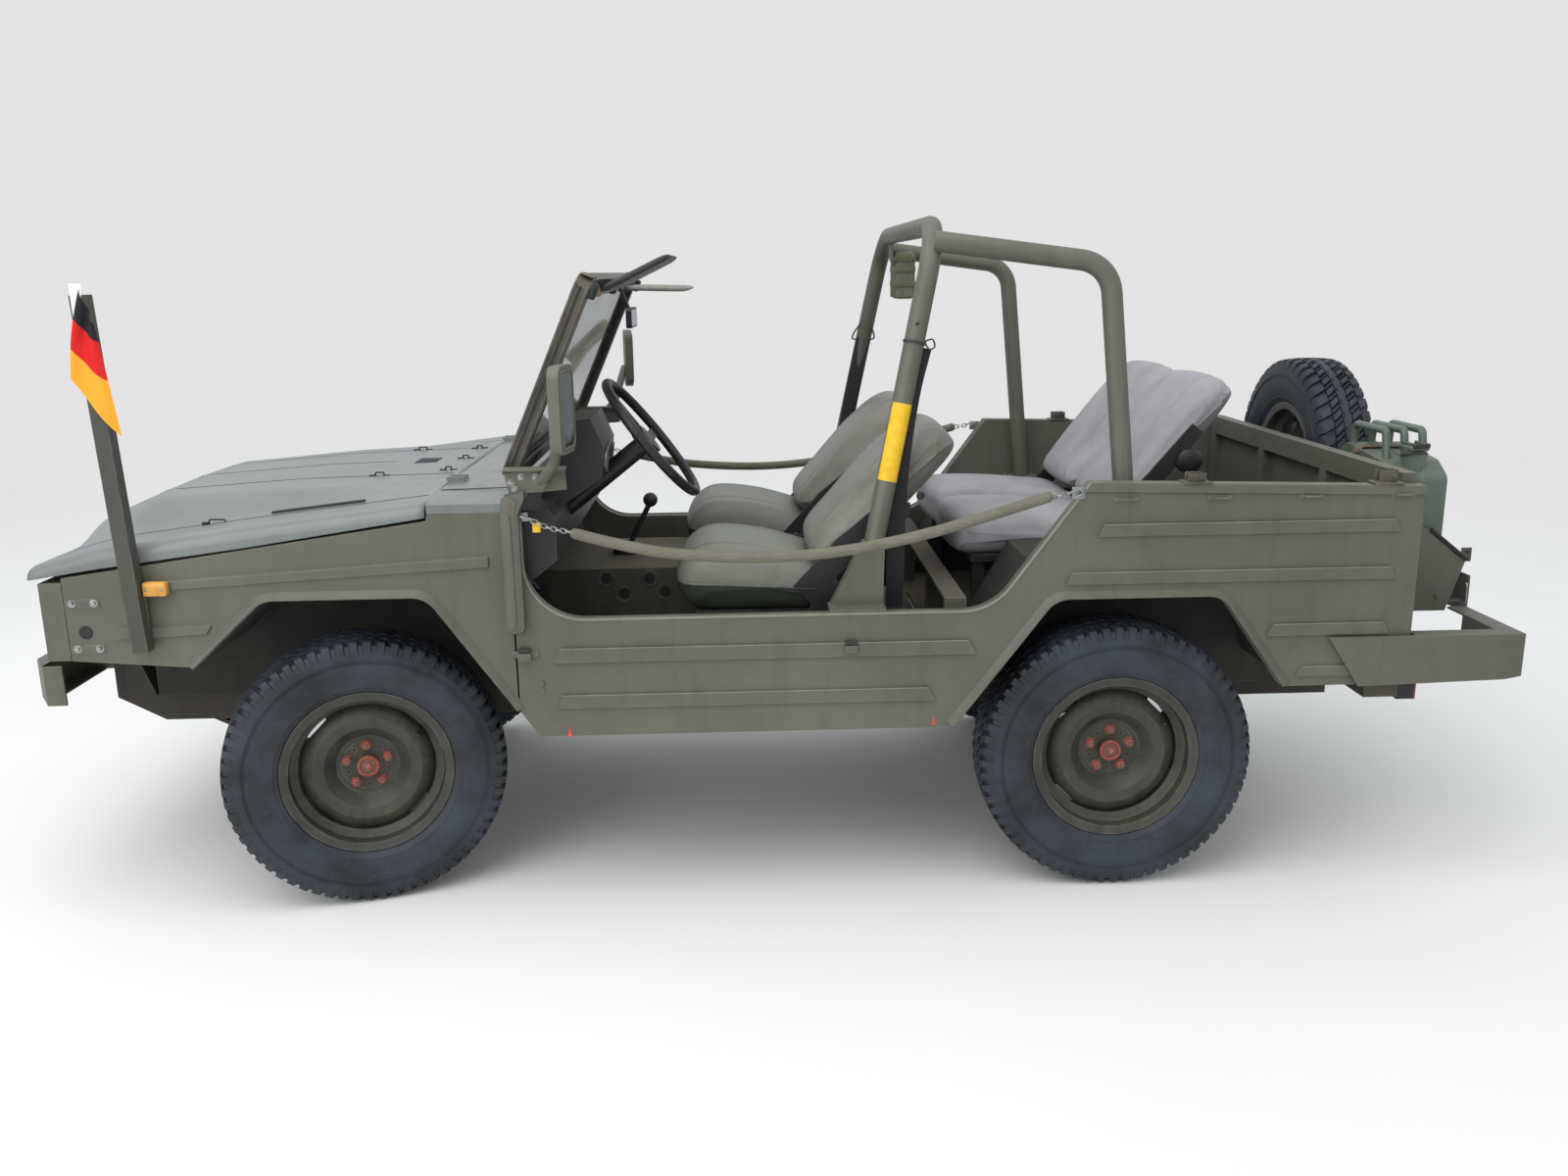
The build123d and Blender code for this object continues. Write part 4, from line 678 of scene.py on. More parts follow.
def chainLink(middle, along, normal, length, width, wire):
    # a tube round an oval: two straight sides joined by half circles
    turn = np.linspace(0, 2 * math.pi, 16, endpoint=False)
    across = np.cross(normal, along)
    straight = (length - width) / 2
    path = (np.array(middle) + np.outer(np.cos(turn) * width / 2 + np.sign(np.cos(turn)) * straight, along)
            + np.outer(np.sin(turn) * width / 2, across))
    return carried(path, circle(wire, 6), up=normal, closed=True)


def fittingsFor(side):
    parts = []
    start, end = np.array(strapRoute[0]), np.array((0.607, 0.755, 1.051))
    along = (end - start) / np.linalg.norm(end - start)
    across = np.cross(along, (0, 0, 1.0))
    across /= np.linalg.norm(across)
    upper = np.cross(across, along)
    count = chainValues["count"]
    spots = start + along * 0.018 + np.outer(np.linspace(0, 1, count), end - start - along * 0.03)
    sag = -0.006 * np.sin(np.linspace(0, math.pi, count))
    for n, spot in enumerate(spots):
        parts.append((chainLink(spot + (0, 0, sag[n]), along, across if n % 2 else upper, chainValues["link"],
                                chainValues["width"], chainValues["wire"]), "steel"))
    parts.append((carried([start - along * 0.001, start + along * 0.006, start + along * 0.011],
                          circle(0.0138, 16), size=(1, 0.9, 0.55)), "strapCanvas"))
    parts.append((chainLink(start + along * 0.014, along, upper, 0.02, 0.012, 0.0022), "galvanised"))
    parts.append((chainLink(end - along * 0.004, along, upper, 0.034, 0.014, 0.0024), "galvanised"))
    parts.append((slab((0.600, 0.7435, 1.040), (0.6215, 0.7465, 1.062), 0.001), "galvanised"))
    parts.append((slab((0.570, 0.746, 1.012), (0.590, 0.750, 1.038), 0.002), "yellowTape"))
    rear, hookEnd = np.array(strapRoute[-1]), np.array((-0.770, 0.752, 1.088))
    back = (hookEnd - rear) / np.linalg.norm(hookEnd - rear)
    parts.append((carried([rear - back * 0.001, rear + back * 0.006, rear + back * 0.011], circle(0.0138, 16),
                          size=(1, 0.9, 0.55)), "strapCanvas"))
    for n, distance in enumerate((0.016, 0.030, 0.044)):
        parts.append((chainLink(rear + back * distance, back, upper if n % 2 else across, 0.019, 0.012, 0.0018),
                      "steel"))
    parts.append((carried(smoothPath([rear + back * 0.048, rear + back * 0.066 + (0, 0.003, 0.006),
                                      hookEnd + (0, 0.002, 0.008), hookEnd + (-0.006, 0, -0.004),
                                      hookEnd + (0.004, -0.004, -0.010)], 18), circle(0.003, 8), up=(0, 1, 0)),
                  "galvanised"))
    parts.append((slab((-0.786, 0.7425, 1.070), (-0.752, 0.7455, 1.100), 0.001), "galvanised"))
    return parts if side > 0 else [(mirroredPart(part), finishName) for part, finishName in parts]


for name, side, node in (("Left", 1, "strap_left"), ("Right", -1, "strap_right")):
    strap, route = makeStrap("strap" + name, side)
    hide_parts(node)
    fittings = makePiece("strapFittings" + name, fittingsFor(side), "body", ["strap_hardware"])
print("straps made")

# CAD nodes whose shape stays, each with its finish and edge radius
keptNodes = {
    "side_panels": ("bodyPaint", 0.0022), "front_fenders": ("bodyPaint", 0.0022),
    "wheel_boxes": ("archPaint", 0.002), "floor_pan": ("floorPaint", 0.0015),
    # the cowl takes the bonnet's paint, with its painted reflection of the sky
    "front_panel": ("bodyPaint", 0.002), "cowl": ("bonnetPaintAndSkySheen", 0.0015), "front_bumper": ("bodyPaint", 0.002),
    "rear_bumpers": ("bodyPaint", 0.002), "chassis_frame": ("framePaint", 0.002),
    "engine_block": ("ironGrey", 0.006), "front_suspension": ("framePaint", 0.002),
    "rear_suspension": ("framePaint", 0.002), "knuckle_left": ("ironGrey", 0.002),
    "knuckle_right": ("ironGrey", 0.002), "fuel_tank": ("framePaint", 0.008), "roll_bar": ("bodyPaint", 0.0015),
    "windscreen_frame": ("screenPaint", 0.002), "windscreen_glass": ("screenGlass", 0.0),
    "inner_mirror": ("blackPlastic", 0.002), "door_mirrors": ("bodyPaint", 0.003),
    "dashboard": ("blackPaint", 0.003), "steering_column": ("blackPlastic", 0.001),
    "steering_wheel": ("blackPlastic", 0.001), "levers_and_pedals": ("blackPaint", 0.001),
    "seat_frames": ("blackPaint", 0.001), "tailgate": ("bodyPaint", 0.002), "can_tub": ("bodyPaint", 0.0015),
    "jerrycan": ("canPaint", 0.004), "flag_pole": ("polePaint", 0.002), "seat_belts": ("blackWebbing", 0.0005),
    "pouch": ("strapCanvas", 0.003), "lamps": ("redLens", 0.001), "rim_front_left": ("wheelPaint", 0.001),
    "rim_front_right": ("wheelPaint", 0.001), "rim_rear_left": ("wheelPaint", 0.001),
    "rim_rear_right": ("wheelPaint", 0.001), "spare_rim": ("sparePaint", 0.001),
}
for node, (finishName, width) in keptNodes.items():
    dressed(node, finishName, width)


def zoned(piece, zones):
    # other finishes for the faces whose middles lie between each zone's two corners
    mesh = piece.data
    middles = np.empty(len(mesh.polygons) * 3)
    mesh.polygons.foreach_get("center", middles)
    middles = middles.reshape(-1, 3)
    marks = np.zeros(len(mesh.polygons), dtype=np.int32)
    for finishName, low, high in zones:
        mesh.materials.append(finish[finishName])
        marks[((middles > low) & (middles < high)).all(axis=1)] = len(mesh.materials) - 1
    mesh.polygons.foreach_set("material_index", marks)


zoned(bpy.data.objects["lampsDressed"], [("blackPlastic", (-2, -1, 0), (-1.0, 1, 2)),
                                         ("amberLens", (1.4, -1, 0), (1.6, 1, 2)),
                                         ("steel", (1.6, -1, 0), (2, 1, 2))])
print("CAD nodes dressed")

# Tyres: block tread by rows of grid points across the tyre and columns round it
tyreValues = {"pitches": 64, "blockDepth": 0.0095}
spareTyreValues = {"pitches": 48, "blockDepth": 0.011}


def tyrePart(values):
    # rows run from bead to bead: each has its distance from the middle, its radius, how deep its grooves are
    # and its pattern, which says what columns stand up of a pitch's eight; the radius at a point is the row's,
    # less the groove where no column stands
    half = [
        (0.000, 0.3640, 0.0, 0), (0.006, 0.3640, 0.0, 0), (0.0065, 0.3640, 0.3, 1), (0.0125, 0.3639, 0.3, 1),
        (0.0130, 0.3639, 1.0, 5), (0.0160, 0.3638, 1.0, 5), (0.0165, 0.3638, 1.0, 2), (0.0250, 0.3636, 1.0, 2),
        (0.0350, 0.3632, 1.0, 2), (0.0420, 0.3628, 1.0, 2), (0.0425, 0.3628, 1.0, 5), (0.0465, 0.3625, 1.0, 5),
        (0.0470, 0.3624, 1.0, 3), (0.0580, 0.3614, 1.0, 3), (0.0680, 0.3600, 1.0, 3), (0.0735, 0.3580, 1.0, 3),
        (0.0775, 0.3530, 1.0, 4), (0.0805, 0.3460, 1.0, 4), (0.0830, 0.3380, 1.0, 4), (0.0842, 0.3330, 0.6, 4),
        (0.0850, 0.3300, 0.0, 0), (0.0868, 0.3240, 0.0, 0), (0.0878, 0.3170, 0.0, 0), (0.0887, 0.3120, 0.0, 0),
        (0.0908, 0.3114, 0.0, 0), (0.0908, 0.3096, 0.0, 0), (0.0888, 0.3088, 0.0, 0), (0.0888, 0.3058, 0.0, 0),
        (0.0905, 0.3052, 0.0, 0), (0.0905, 0.3038, 0.0, 0), (0.0889, 0.3030, 0.0, 0), (0.0893, 0.3000, 0.0, 0),
        (0.0893, 0.2900, 0.0, 0), (0.0885, 0.2780, 0.0, 0), (0.0866, 0.2660, 0.0, 0), (0.0838, 0.2540, 0.0, 0),
        (0.0800, 0.2440, 0.0, 0), (0.0792, 0.2410, 0.0, 0), (0.0798, 0.2390, 0.0, 0), (0.0770, 0.2340, 0.0, 0),
        (0.0730, 0.2290, 0.0, 0), (0.0700, 0.2235, 0.0, 0), (0.0640, 0.2212, 0.0, 0), (0.0575, 0.2205, 0.0, 0),
        (0.0560, 0.2050, 0.0, 0),
    ]
    rows = np.array([(-t, *rest) for t, *rest in half[:0:-1]] + half)
    side = np.sign(rows[:, 0])
    patterns = np.array([[1] * 8, [1, 1, 1, 1, 1, 1, 0, 0], [1, 1, 1, 0, 0, 1, 1, 0], [1, 1, 1, 1, 1, 0, 0, 0],
                         [1, 1, 1, 1, 1, 0, 0, 0], [0] * 8])
    pitch = np.array([0.0, 0.2, 0.42, 0.46, 0.54, 0.6, 0.66, 0.94])
    columns = (np.arange(values["pitches"])[:, None] + pitch).ravel() / values["pitches"] * 2 * math.pi
    raised = patterns[rows[:, 3].astype(int)][:, np.tile(np.arange(8), values["pitches"])]
    radius = rows[:, 1:2] - values["blockDepth"] * rows[:, 2:3] * (1 - raised)
    skew = side * np.interp(np.abs(rows[:, 0]), [0, 0.0165, 0.042, 0.047, 0.0735, 0.085],
                            [0, 0.25, 0.75, 0.2, 0.5, 0.5])
    angle = columns[None] + skew[:, None] * 2 * math.pi / values["pitches"]
    return gridPart(np.stack([radius * np.cos(angle), np.broadcast_to(rows[:, :1], radius.shape),
                              radius * np.sin(angle)], axis=-1), rowsWrap=True)


tyrePoints = tyrePart(tyreValues)
placeValues = {"frontAxle": 1.1085, "rearAxle": -0.9085, "pin": 0.530, "pinToWheel": 0.085, "rearWheel": 0.630,
               "hub": 0.364, "steer": 15, "spare": (-1.798, -0.335, 0.970), "spareTurn": 90}


def wheelPlace(values, corner):
    # a front wheel turns about its pin; a right wheel is the left one turned round
    side = 1 if corner.endswith("left") else -1
    if corner.startswith("front"):
        place = (Matrix.Translation((values["frontAxle"], side * values["pin"], 0))
                 @ Matrix.Rotation(math.radians(values["steer"]), 4, "Z")
                 @ Matrix.Translation((0, side * values["pinToWheel"], values["hub"])))
    else:
        place = Matrix.Translation((values["rearAxle"], side * values["rearWheel"], values["hub"]))
    return place if side > 0 else place @ Matrix.Rotation(math.pi, 4, "Z")


corners = ("front_left", "front_right", "rear_left", "rear_right")
wheelPlaces = {corner: wheelPlace(placeValues, corner) for corner in corners}
sparePlace = (Matrix.Translation(placeValues["spare"])
              @ Matrix.Rotation(math.radians(placeValues["spareTurn"]), 4, "Z"))


def cornerName(word, corner):
    return word + corner.title().replace("_", "")


for corner, place in wheelPlaces.items():
    makePiece(cornerName("tyre", corner), [(moved(tyrePoints, place), "tyreRubber")], f"{corner}_wheel",
              [f"tyre_{corner}"], smooth=30)
makePiece("spareTyre", [(moved(tyrePart(spareTyreValues), sparePlace), "tyreRubber")], "gate",
          ["spare_tyre"], smooth=30)
print("tyres made")

# Small fastenings: bolts and screws turned from a profile, and bent wire loops
def bolt(place, axis=(0, 1, 0), radius=0.0065, height=0.005, sides=6):
    axis = np.array(axis, float)
    washer = turnedPart([(radius * 1.5, -0.001), (radius * 1.5, 0.0012)], place, axis, 18)
    head = turnedPart([(radius, 0), (radius, height * 0.7), (radius * 0.82, height)],
                      np.array(place) + axis * 0.0012, axis, sides)
    return joined([washer, head])


def dome(place, axis=(0, 1, 0), radius=0.007, height=0.004):
    return turnedPart([(radius, -0.001), (radius, height * 0.2), (radius * 0.86, height * 0.6),
                       (radius * 0.5, height * 0.92), (radius * 0.1, height)], place, axis, 14)


def loop(place, along, out, width=0.05, height=0.013, wire=0.0026):
    # a footman loop: a bent wire standing on two feet screwed down on a small plate
    place, along, out = (np.array(v, float) for v in (place, along, out))
    along, out = along / np.linalg.norm(along), out / np.linalg.norm(out)
    side = np.cross(along, out)
    path = [place + along * u * width + out * v * height
            for u, v in ((-0.62, 0.12), (-0.5, 0.16), (-0.42, 0.9), (-0.3, 1.0), (0, 1.0), (0.3, 1.0),
                         (0.42, 0.9), (0.5, 0.16), (0.62, 0.12))]
    feet = [turnedPart([(0.0075, -0.001), (0.0075, 0.0022), (0.005, 0.0034)],
                       place + along * width * s, out, 12) for s in (-0.58, 0.58)]
    return joined([carried(smoothPath(path, 26), circle(wire, 7), up=side)] + feet)


# Trim of the body's sides: flared lips at the arches, a bead round each door opening, fastenings and fittings
trimValues = {"lip": 0.021, "flare": 0.011, "bead": 0.0042, "sideFace": 0.742,
              # each pressed rib's rear end, front end and height
              "ribEdges": ((-1.581, -0.837, 1.003), (-1.577, -0.760, 0.880), (-1.573, -1.285, 0.734),
                           (-1.575, -1.367, 0.619), (-0.501, 0.538, 0.710), (-0.399, 0.537, 0.586))}


def lipPart(path, values, way=1):
    # the section leans outwards from the panel to the arch's own edge, then turns back as thick as the sheet
    section = [(-0.001, -0.012), (0.0, values["flare"] - 0.002), (0.002, values["flare"]),
               (0.005, values["flare"] - 0.001), (values["lip"], 0.0018), (values["lip"] + 0.002, -0.001),
               (0.004, -0.012)]
    return carried(path, [(u * way, v) for u, v in section], up=(0, 1, 0))


def sideTrim(values):
    face = values["sideFace"]
    frontArch = filleted(atSide(face, [(0.560, 0.412), (0.866, 0.851), (1.270, 0.851), (1.500, 0.640)]),
                         0.07, 10)
    rearArch = filleted(atSide(face, [(-1.370, 0.500), (-1.148, 0.812), (-0.722, 0.812), (-0.424, 0.422)]),
                        0.07, 10)
    frontArch[0] = (0.655, face, 0.548)
    frontArch[-1] = (1.4575, face, 0.679)
    rearArch[0] = (-1.322, face, 0.567)
    rearArch[-1] = (-0.466, face, 0.477)
    opening = filleted(atSide(face - 0.001, [(0.622, 1.055), (0.622, 0.784), (-0.560, 0.784), (-0.801, 1.109)]),
                       0.15, 12)
    parts = [(lipPart(frontArch, values, 1), "bodyPaint"), (lipPart(rearArch, values, 1), "bodyPaint"),
             (carried(opening, circle(values["bead"], 10), up=(0, 1, 0)), "edgePaint")]
    # two plates on the front corner, each with two bolts, and a rubber plug between them
    for z in (0.854, 0.737):
        parts.append((slab((1.668, 0.7415, z - 0.012), (1.752, 0.7435, z + 0.012), 0.004), "bodyPaint"))
        parts += [(bolt((x, 0.7435, z)), "steel") for x in (1.683, 1.737)]
    parts.append((turnedPart([(0.017, 0), (0.0165, 0.003), (0.012, 0.0045), (0.008, 0.003), (0.0005, 0.003)],
                             (1.7125, 0.7415, 0.779), (0, 1, 0), 22), "blackRubber"))
    # hinge boxes of the doors that are left off
    for x, z in ((0.628, 0.697), (-0.200, 0.699)):
        parts += [(slab((x - 0.036, 0.7415, z - 0.009), (x + 0.036, 0.745, z + 0.009), 0.002), "bodyPaint"),
                  (slab((x - 0.017, 0.745, z - 0.016), (x + 0.017, 0.757, z + 0.006), 0.003), "bodyPaint"),
                  (slab((x - 0.016, 0.744, z + 0.008), (x + 0.016, 0.758, z + 0.018), 0.003), "blackPaint")]
        parts += [(dome((x + s * 0.028, 0.745, z), radius=0.004, height=0.002), "bodyPaint") for s in (-1, 1)]
    # loops under the rear rail, and the brackets on it that held the top's frame
    for x in (-0.8915, -1.1275, -1.3605, -1.5925):
        parts += [(slab((x - 0.034, 0.7415, 1.060), (x + 0.034, 0.743, 1.073), 0.003), "bodyPaint"),
                  (loop((x, 0.743, 1.066), (1, 0, 0), (0, 1, 0), 0.042, 0.012), "bodyPaint")]
    for x, z, tall in ((-1.066, 1.104, 0.026), (-1.552, 1.094, 0.034)):
        parts += [(slab((x - 0.038, 0.700, z - 0.004), (x + 0.034, 0.752, z + 0.003), 0.002), "screenPaint"),
                  (slab((x - 0.024, 0.712, z), (x + 0.022, 0.717, z + tall), 0.002), "screenPaint"),
                  (slab((x - 0.024, 0.738, z), (x + 0.022, 0.743, z + tall), 0.002), "screenPaint"),
                  (bolt((x - 0.012, 0.743, z + tall * 0.55), radius=0.004, height=0.004), "screenPaint")]
    # bolts at the tail and behind the front arch, jack marks over the sill
    parts += [(bolt((x, 0.7425, z), radius=0.005, height=0.0035), "bodyPaint") for x, z in
              ((-1.60, 0.642), (-1.60, 0.668), (0.5885, 0.62), (0.5885, 0.60))]
    for x, z in ((0.526, 0.474), (-0.4135, 0.482)):
        arrow = [(x - 0.007, z), (x + 0.007, z), (x + 0.003, z + 0.014), (x, z + 0.030), (x - 0.003, z + 0.014)]
        parts.append((platePart(arrow, 0.7412, 0.7424, 0.0004), "jackRed"))
    # bright upper edges of the pressed ribs: a painted highlight where they catch the light from above
    for rear, front, top in values["ribEdges"]:
        parts.append((carried([(rear, face + 0.0066, top), (front, face + 0.0066, top)],
                              roundedRect(0.0024, 0.0030, 0.001, 1), up=(0, 1, 0)), "edgePaint"))
    return parts


# Ribbed cover over the front door post, with the bracket that carries the mirror's arm
postValues = {"place": (0.643, 0.7555), "width": 0.046, "depth": 0.032, "corner": 0.0135,
              "rib": (0.6475, 0.7725), "ribWidth": 0.020, "ribDepth": 0.008}


def postCover(values):
    x, y = values["place"]
    path = [(x, y, z) for z in (0.7545, 0.757, 0.763, 0.774, 0.79, 0.85, 0.95, 1.04, 1.066)]
    path += [(0.640, y, 1.084), (0.632, y, 1.100)]
    size = [0.25, 0.55, 0.8, 0.95, 1, 1, 1, 1, 1, 1, 0.98]
    cover = carried(path, roundedRect(values["width"], values["depth"], values["corner"], 4), up=(0, 1, 0),
                    size=size)
    rib = carried([(*values["rib"], z) for z in (0.772, 0.79, 0.9, 1.03, 1.062)],
                  roundedRect(values["ribWidth"], values["ribDepth"], 0.0038, 3), up=(0, 1, 0),
                  size=[0.4, 1, 1, 1, 0.7])
    parts = [(cover, "bodyPaint"), (rib, "bodyPaint")]
    low = [(0.500, 1.118), (0.640, 1.108), (0.652, 1.160), (0.560, 1.174), (0.503, 1.174)]
    parts.append((platePart(low, 0.7435, 0.7515, 0.0015), "bodyPaint"))
    parts.append((slab((0.500, 0.728, 1.166), (0.652, 0.766, 1.174), 0.002), "bodyPaint"))
    parts += [(bolt((x, 0.7515, z), radius=0.0055), "steel")
              for x, z in ((0.635, 1.138), (0.610, 1.152), (0.628, 1.122))]
    parts.append((bolt((0.574, 0.7515, 1.150), radius=0.006), "steel"))
    return parts


makePiece("sideTrim", bothSides(sideTrim(trimValues)), "body", smooth=40)
makePiece("postCovers", bothSides(postCover(postValues)), "body", smooth=40)
print("side trim made")

# Wheel details in the wheel's own frame: Y points outwards from the wheel's plane
wheelDetails = {"circle": 0.056, "nut": 0.0118, "nutHeight": 0.017, "ring": (0.020, 0.029), "valveTurn": 148}


def wheelParts(values, spare=False):
    parts = []
    for n in range(5):
        angle = math.radians(90 + 72 * n)
        spot = np.array([values["circle"] * math.cos(angle), 0, values["circle"] * math.sin(angle)])
        nut = turnedPart([(values["nut"] * 1.22, 0), (values["nut"], 0.004),
                          (values["nut"], values["nutHeight"] * 0.82),
                          (values["nut"] * 0.8, values["nutHeight"])], spot, (0, 1, 0), 6)
        stud = turnedPart([(0.0062, 0.012), (0.0062, values["nutHeight"] + 0.0035),
                           (0.005, values["nutHeight"] + 0.005)], spot, (0, 1, 0), 10)
        parts += [(nut, "steel" if spare else "fadedRed"), (stud, "steel" if spare else "rustyHub")]
        gap = angle + math.radians(36)
        hole = np.array([values["circle"] * 0.97 * math.cos(gap), 0, values["circle"] * 0.97 * math.sin(gap)])
        # a dark disc of painted shade for each small hole between the nuts
        parts.append((turnedPart([(0.0046, -0.001), (0.0046, 0.0006)], hole, (0, 1, 0), 12), "blackRubber"))
    low, high = values["ring"]
    if not spare:
        parts.append((turnedPart([(low, 0.010), (high, 0.010), (high, 0.0195), (high - 0.002, 0.0215),
                                  (low + 0.002, 0.0215), (low, 0.0195)], (0, 0, 0), (0, 1, 0), 36, ring=True),
                      "redPaint"))
        parts.append((turnedPart([(0.0195, 0.012), (0.0195, 0.0165), (0.012, 0.0175)],
                                 (0, 0, 0), (0, 1, 0), 28), "rustyHub"))
        parts.append((turnedPart([(0.0095, 0.016), (0.0095, 0.022), (0.0078, 0.024)], (0, 0, 0), (0, 1, 0), 6),
                      "fadedRed"))
        parts.append((turnedPart([(0.0295, 0.0005), (0.0690, 0.0005), (0.0690, -0.001), (0.0295, -0.001)],
                                 (0, 0, 0), (0, 1, 0), 40, ring=True), "navePaint"))
    angle = math.radians(values["valveTurn"])
    out = np.array([math.cos(angle), 0, math.sin(angle)])
    valve = [out * 0.172 + (0, -0.010, 0), out * 0.169 + (0, 0.010, 0), out * 0.163 + (0, 0.030, 0),
             out * 0.160 + (0, 0.040, 0)]
    parts.append((carried(valve, circle(0.0052, 10), size=[1.3, 1.1, 0.9, 0.8]), "blackRubber"))
    parts.append((carried([valve[-1], valve[-1] + (valve[-1] - valve[-2]) * 0.9], circle(0.0042, 10)),
                  "blackPlastic"))
    return parts


for corner, place in wheelPlaces.items():
    nuts = [(moved(part, place), finishName) for part, finishName in wheelParts(wheelDetails)]
    makePiece(cornerName("nuts", corner), nuts, f"{corner}_wheel")
nuts = [(moved(part, sparePlace), finishName) for part, finishName in wheelParts(wheelDetails, True)]
makePiece("spareDetails", nuts, "gate")
print("wheel details made")

# Bonnet: one pressed sheet, smooth over its crown, valleys and rolled edges
bonnetValues = {
    "places": (0.855, 1.300, 1.680, 1.850), "centre": (1.099, 1.088, 1.062, 0.990),
    "edge": (1.091, 1.040, 0.992, 0.948), "crown": (0.420, 0.370, 0.330, 0.300),
    "valley": (0.600, 0.560, 0.520, 0.500), "low": (1.052, 0.986, 0.938, 0.912), "half": 0.742, "roll": 0.030,
    "grooveDepth": 0.004, "thickness": 0.012, "frontGrooves": 1.812, "middleGroove": 1.092}


def smoothStep(value):
    value = np.clip(value, 0, 1)
    return value * value * (3 - 2 * value)


def bonnetParts(values):
    # height over (x, y): the side's height plus the crown's rise, which falls off from the crown's half width
    # to the valley's by a smooth step; less a slight camber by the square of y, and less narrow round grooves
    # along X; the rim rolls down through a quarter circle, and through an eighth of a sphere at the nose's
    # corners
    roll, half = values["roll"], values["half"]
    front = values["places"][-1]
    quarter = np.sin(np.linspace(0, math.pi / 2, 7)[1:])
    x = np.concatenate([np.linspace(values["places"][0], front - roll, 54), front - roll + roll * quarter])
    share = (x - values["places"][0]) / (front - values["places"][0])
    grooves = [share * 0, 0.281 - 0.041 * share, 0.575 - 0.022 * share]
    near = np.array([-0.0075, -0.0045, -0.0022, 0, 0.0022, 0.0045, 0.0075])
    knots = [grooves[0][:, None] + near[3:], grooves[1][:, None] + near, grooves[2][:, None] + near]
    spans = [np.linspace(knots[n][:, -1], knots[n + 1][:, 0], 12)[1:-1].T for n in (0, 1)]
    flat = np.linspace(knots[2][:, -1], np.full(len(x), half - roll), 7)[1:].T
    y = np.concatenate([knots[0], spans[0], knots[1], spans[1], knots[2], flat], axis=1)
    row = {key: np.interp(x, values["places"], values[key])[:, None]
           for key in ("centre", "edge", "crown", "valley", "low")}
    rise = smoothStep((row["valley"] - y) / (row["valley"] - row["crown"]))
    z = row["edge"] + (row["centre"] - row["edge"]) * rise - 0.006 * np.minimum(y / row["crown"], 1) ** 2
    ends = smoothStep((x - 0.872) / 0.01) * smoothStep((values["frontGrooves"] - x) / 0.012)
    middleEnds = ends * smoothStep((x - values["middleGroove"]) / 0.012)
    for n, groove in enumerate(grooves):
        width = np.clip(1 - np.abs(y - groove[:, None]) / 0.0046, 0, 1)
        z -= values["grooveDepth"] * smoothStep(width * 1.6) * (middleEnds if n == 0 else ends)[:, None]
    rim = z[:, -1:]
    sineX = np.clip((x - front + roll) / roll, 0, 1)[:, None]
    drop = roll * (1 - np.sqrt(1 - sineX ** 2))
    rollY = np.broadcast_to(half - roll + roll * quarter, (len(x), 6))
    rollZ = rim - roll * (1 - np.sqrt(np.clip(1 - sineX ** 2 - quarter ** 2, 0, 1)))
    skirtZ = rim - roll + (row["low"] - rim + roll) * np.linspace(0, 1, 6)[1:]
    y = np.minimum(np.concatenate([y, rollY, np.full((len(x), 5), half)], axis=1), half - drop)
    z = np.concatenate([z - drop, rollZ, skirtZ], axis=1)
    y = np.concatenate([-y[:, :0:-1], y], axis=1)
    z = np.concatenate([z[:, :0:-1], z], axis=1)
    points = np.stack([np.broadcast_to(x[:, None], y.shape), y, z], axis=-1)
    # the nose's wall hangs from the front row between the two corners, in the same steps as the skirt's corner
    skirt = 11
    corner = points[-1, -skirt - 1:, 2]
    fall = (corner[0] - corner) / (corner[0] - corner[-1])
    top = points[-1, skirt:-skirt]
    wallZ = top[None, :, 2] - fall[:, None] * (top[None, :, 2] - corner[-1])
    nose = np.stack([np.broadcast_to(top[:, 0], wallZ.shape), np.broadcast_to(top[:, 1], wallZ.shape), wallZ],
                    axis=-1)
    return [gridPart(points, columnsWrap=False), gridPart(nose, columnsWrap=False)]


# the bonnet's paint carries a painted reflection of the sky
bonnetPiece = makePiece("bonnetSheet", [(part, "bonnetPaintAndSkySheen") for part in bonnetParts(bonnetValues)], "hood",
                        ["bonnet"], closed=False, smooth=50, weld=1e-5, facing=(0, 0, 1))
wallOf(bonnetPiece, bonnetValues["thickness"])

# On the bonnet: painted shade along the bottoms of the grooves, a slot with its rubber lip, and wire loops on
# small feet
def onBonnet(x, y, values=bonnetValues):
    # the sheet's height at a place, by the formula of its surface without its grooves
    row = {key: np.interp(x, values["places"], values[key]) for key in ("centre", "edge", "crown", "valley")}
    rise = smoothStep((row["valley"] - abs(y)) / (row["valley"] - row["crown"]))
    return row["edge"] + (row["centre"] - row["edge"]) * rise - 0.006 * min(abs(y) / row["crown"], 1) ** 2


def grooveLine(first, last, lift=-0.0003):
    spots = [np.array(first) + (np.array(last) - first) * share for share in np.linspace(0, 1, 24)]
    path = [(x, y, onBonnet(x, y) + lift) for x, y in spots]
    return carried(path, roundedRect(0.0075, 0.0014, 0.0005, 1))


def wireLoop(x, y, along, width):
    z = onBonnet(x, y)
    along = np.array(along, float)
    parts = [(loop((x, y, z - 0.001), along, (0, 0, 1), width, 0.010, 0.0022), "grooveShade")]
    for s in (-1, 1):
        foot = np.array((x, y, z)) + along * s * (width / 2 + 0.009)
        parts.append((slab(foot - (0.007, 0.006, 0.003), foot + (0.007, 0.006, 0.0025), 0.001), "grooveShade"))
    return parts


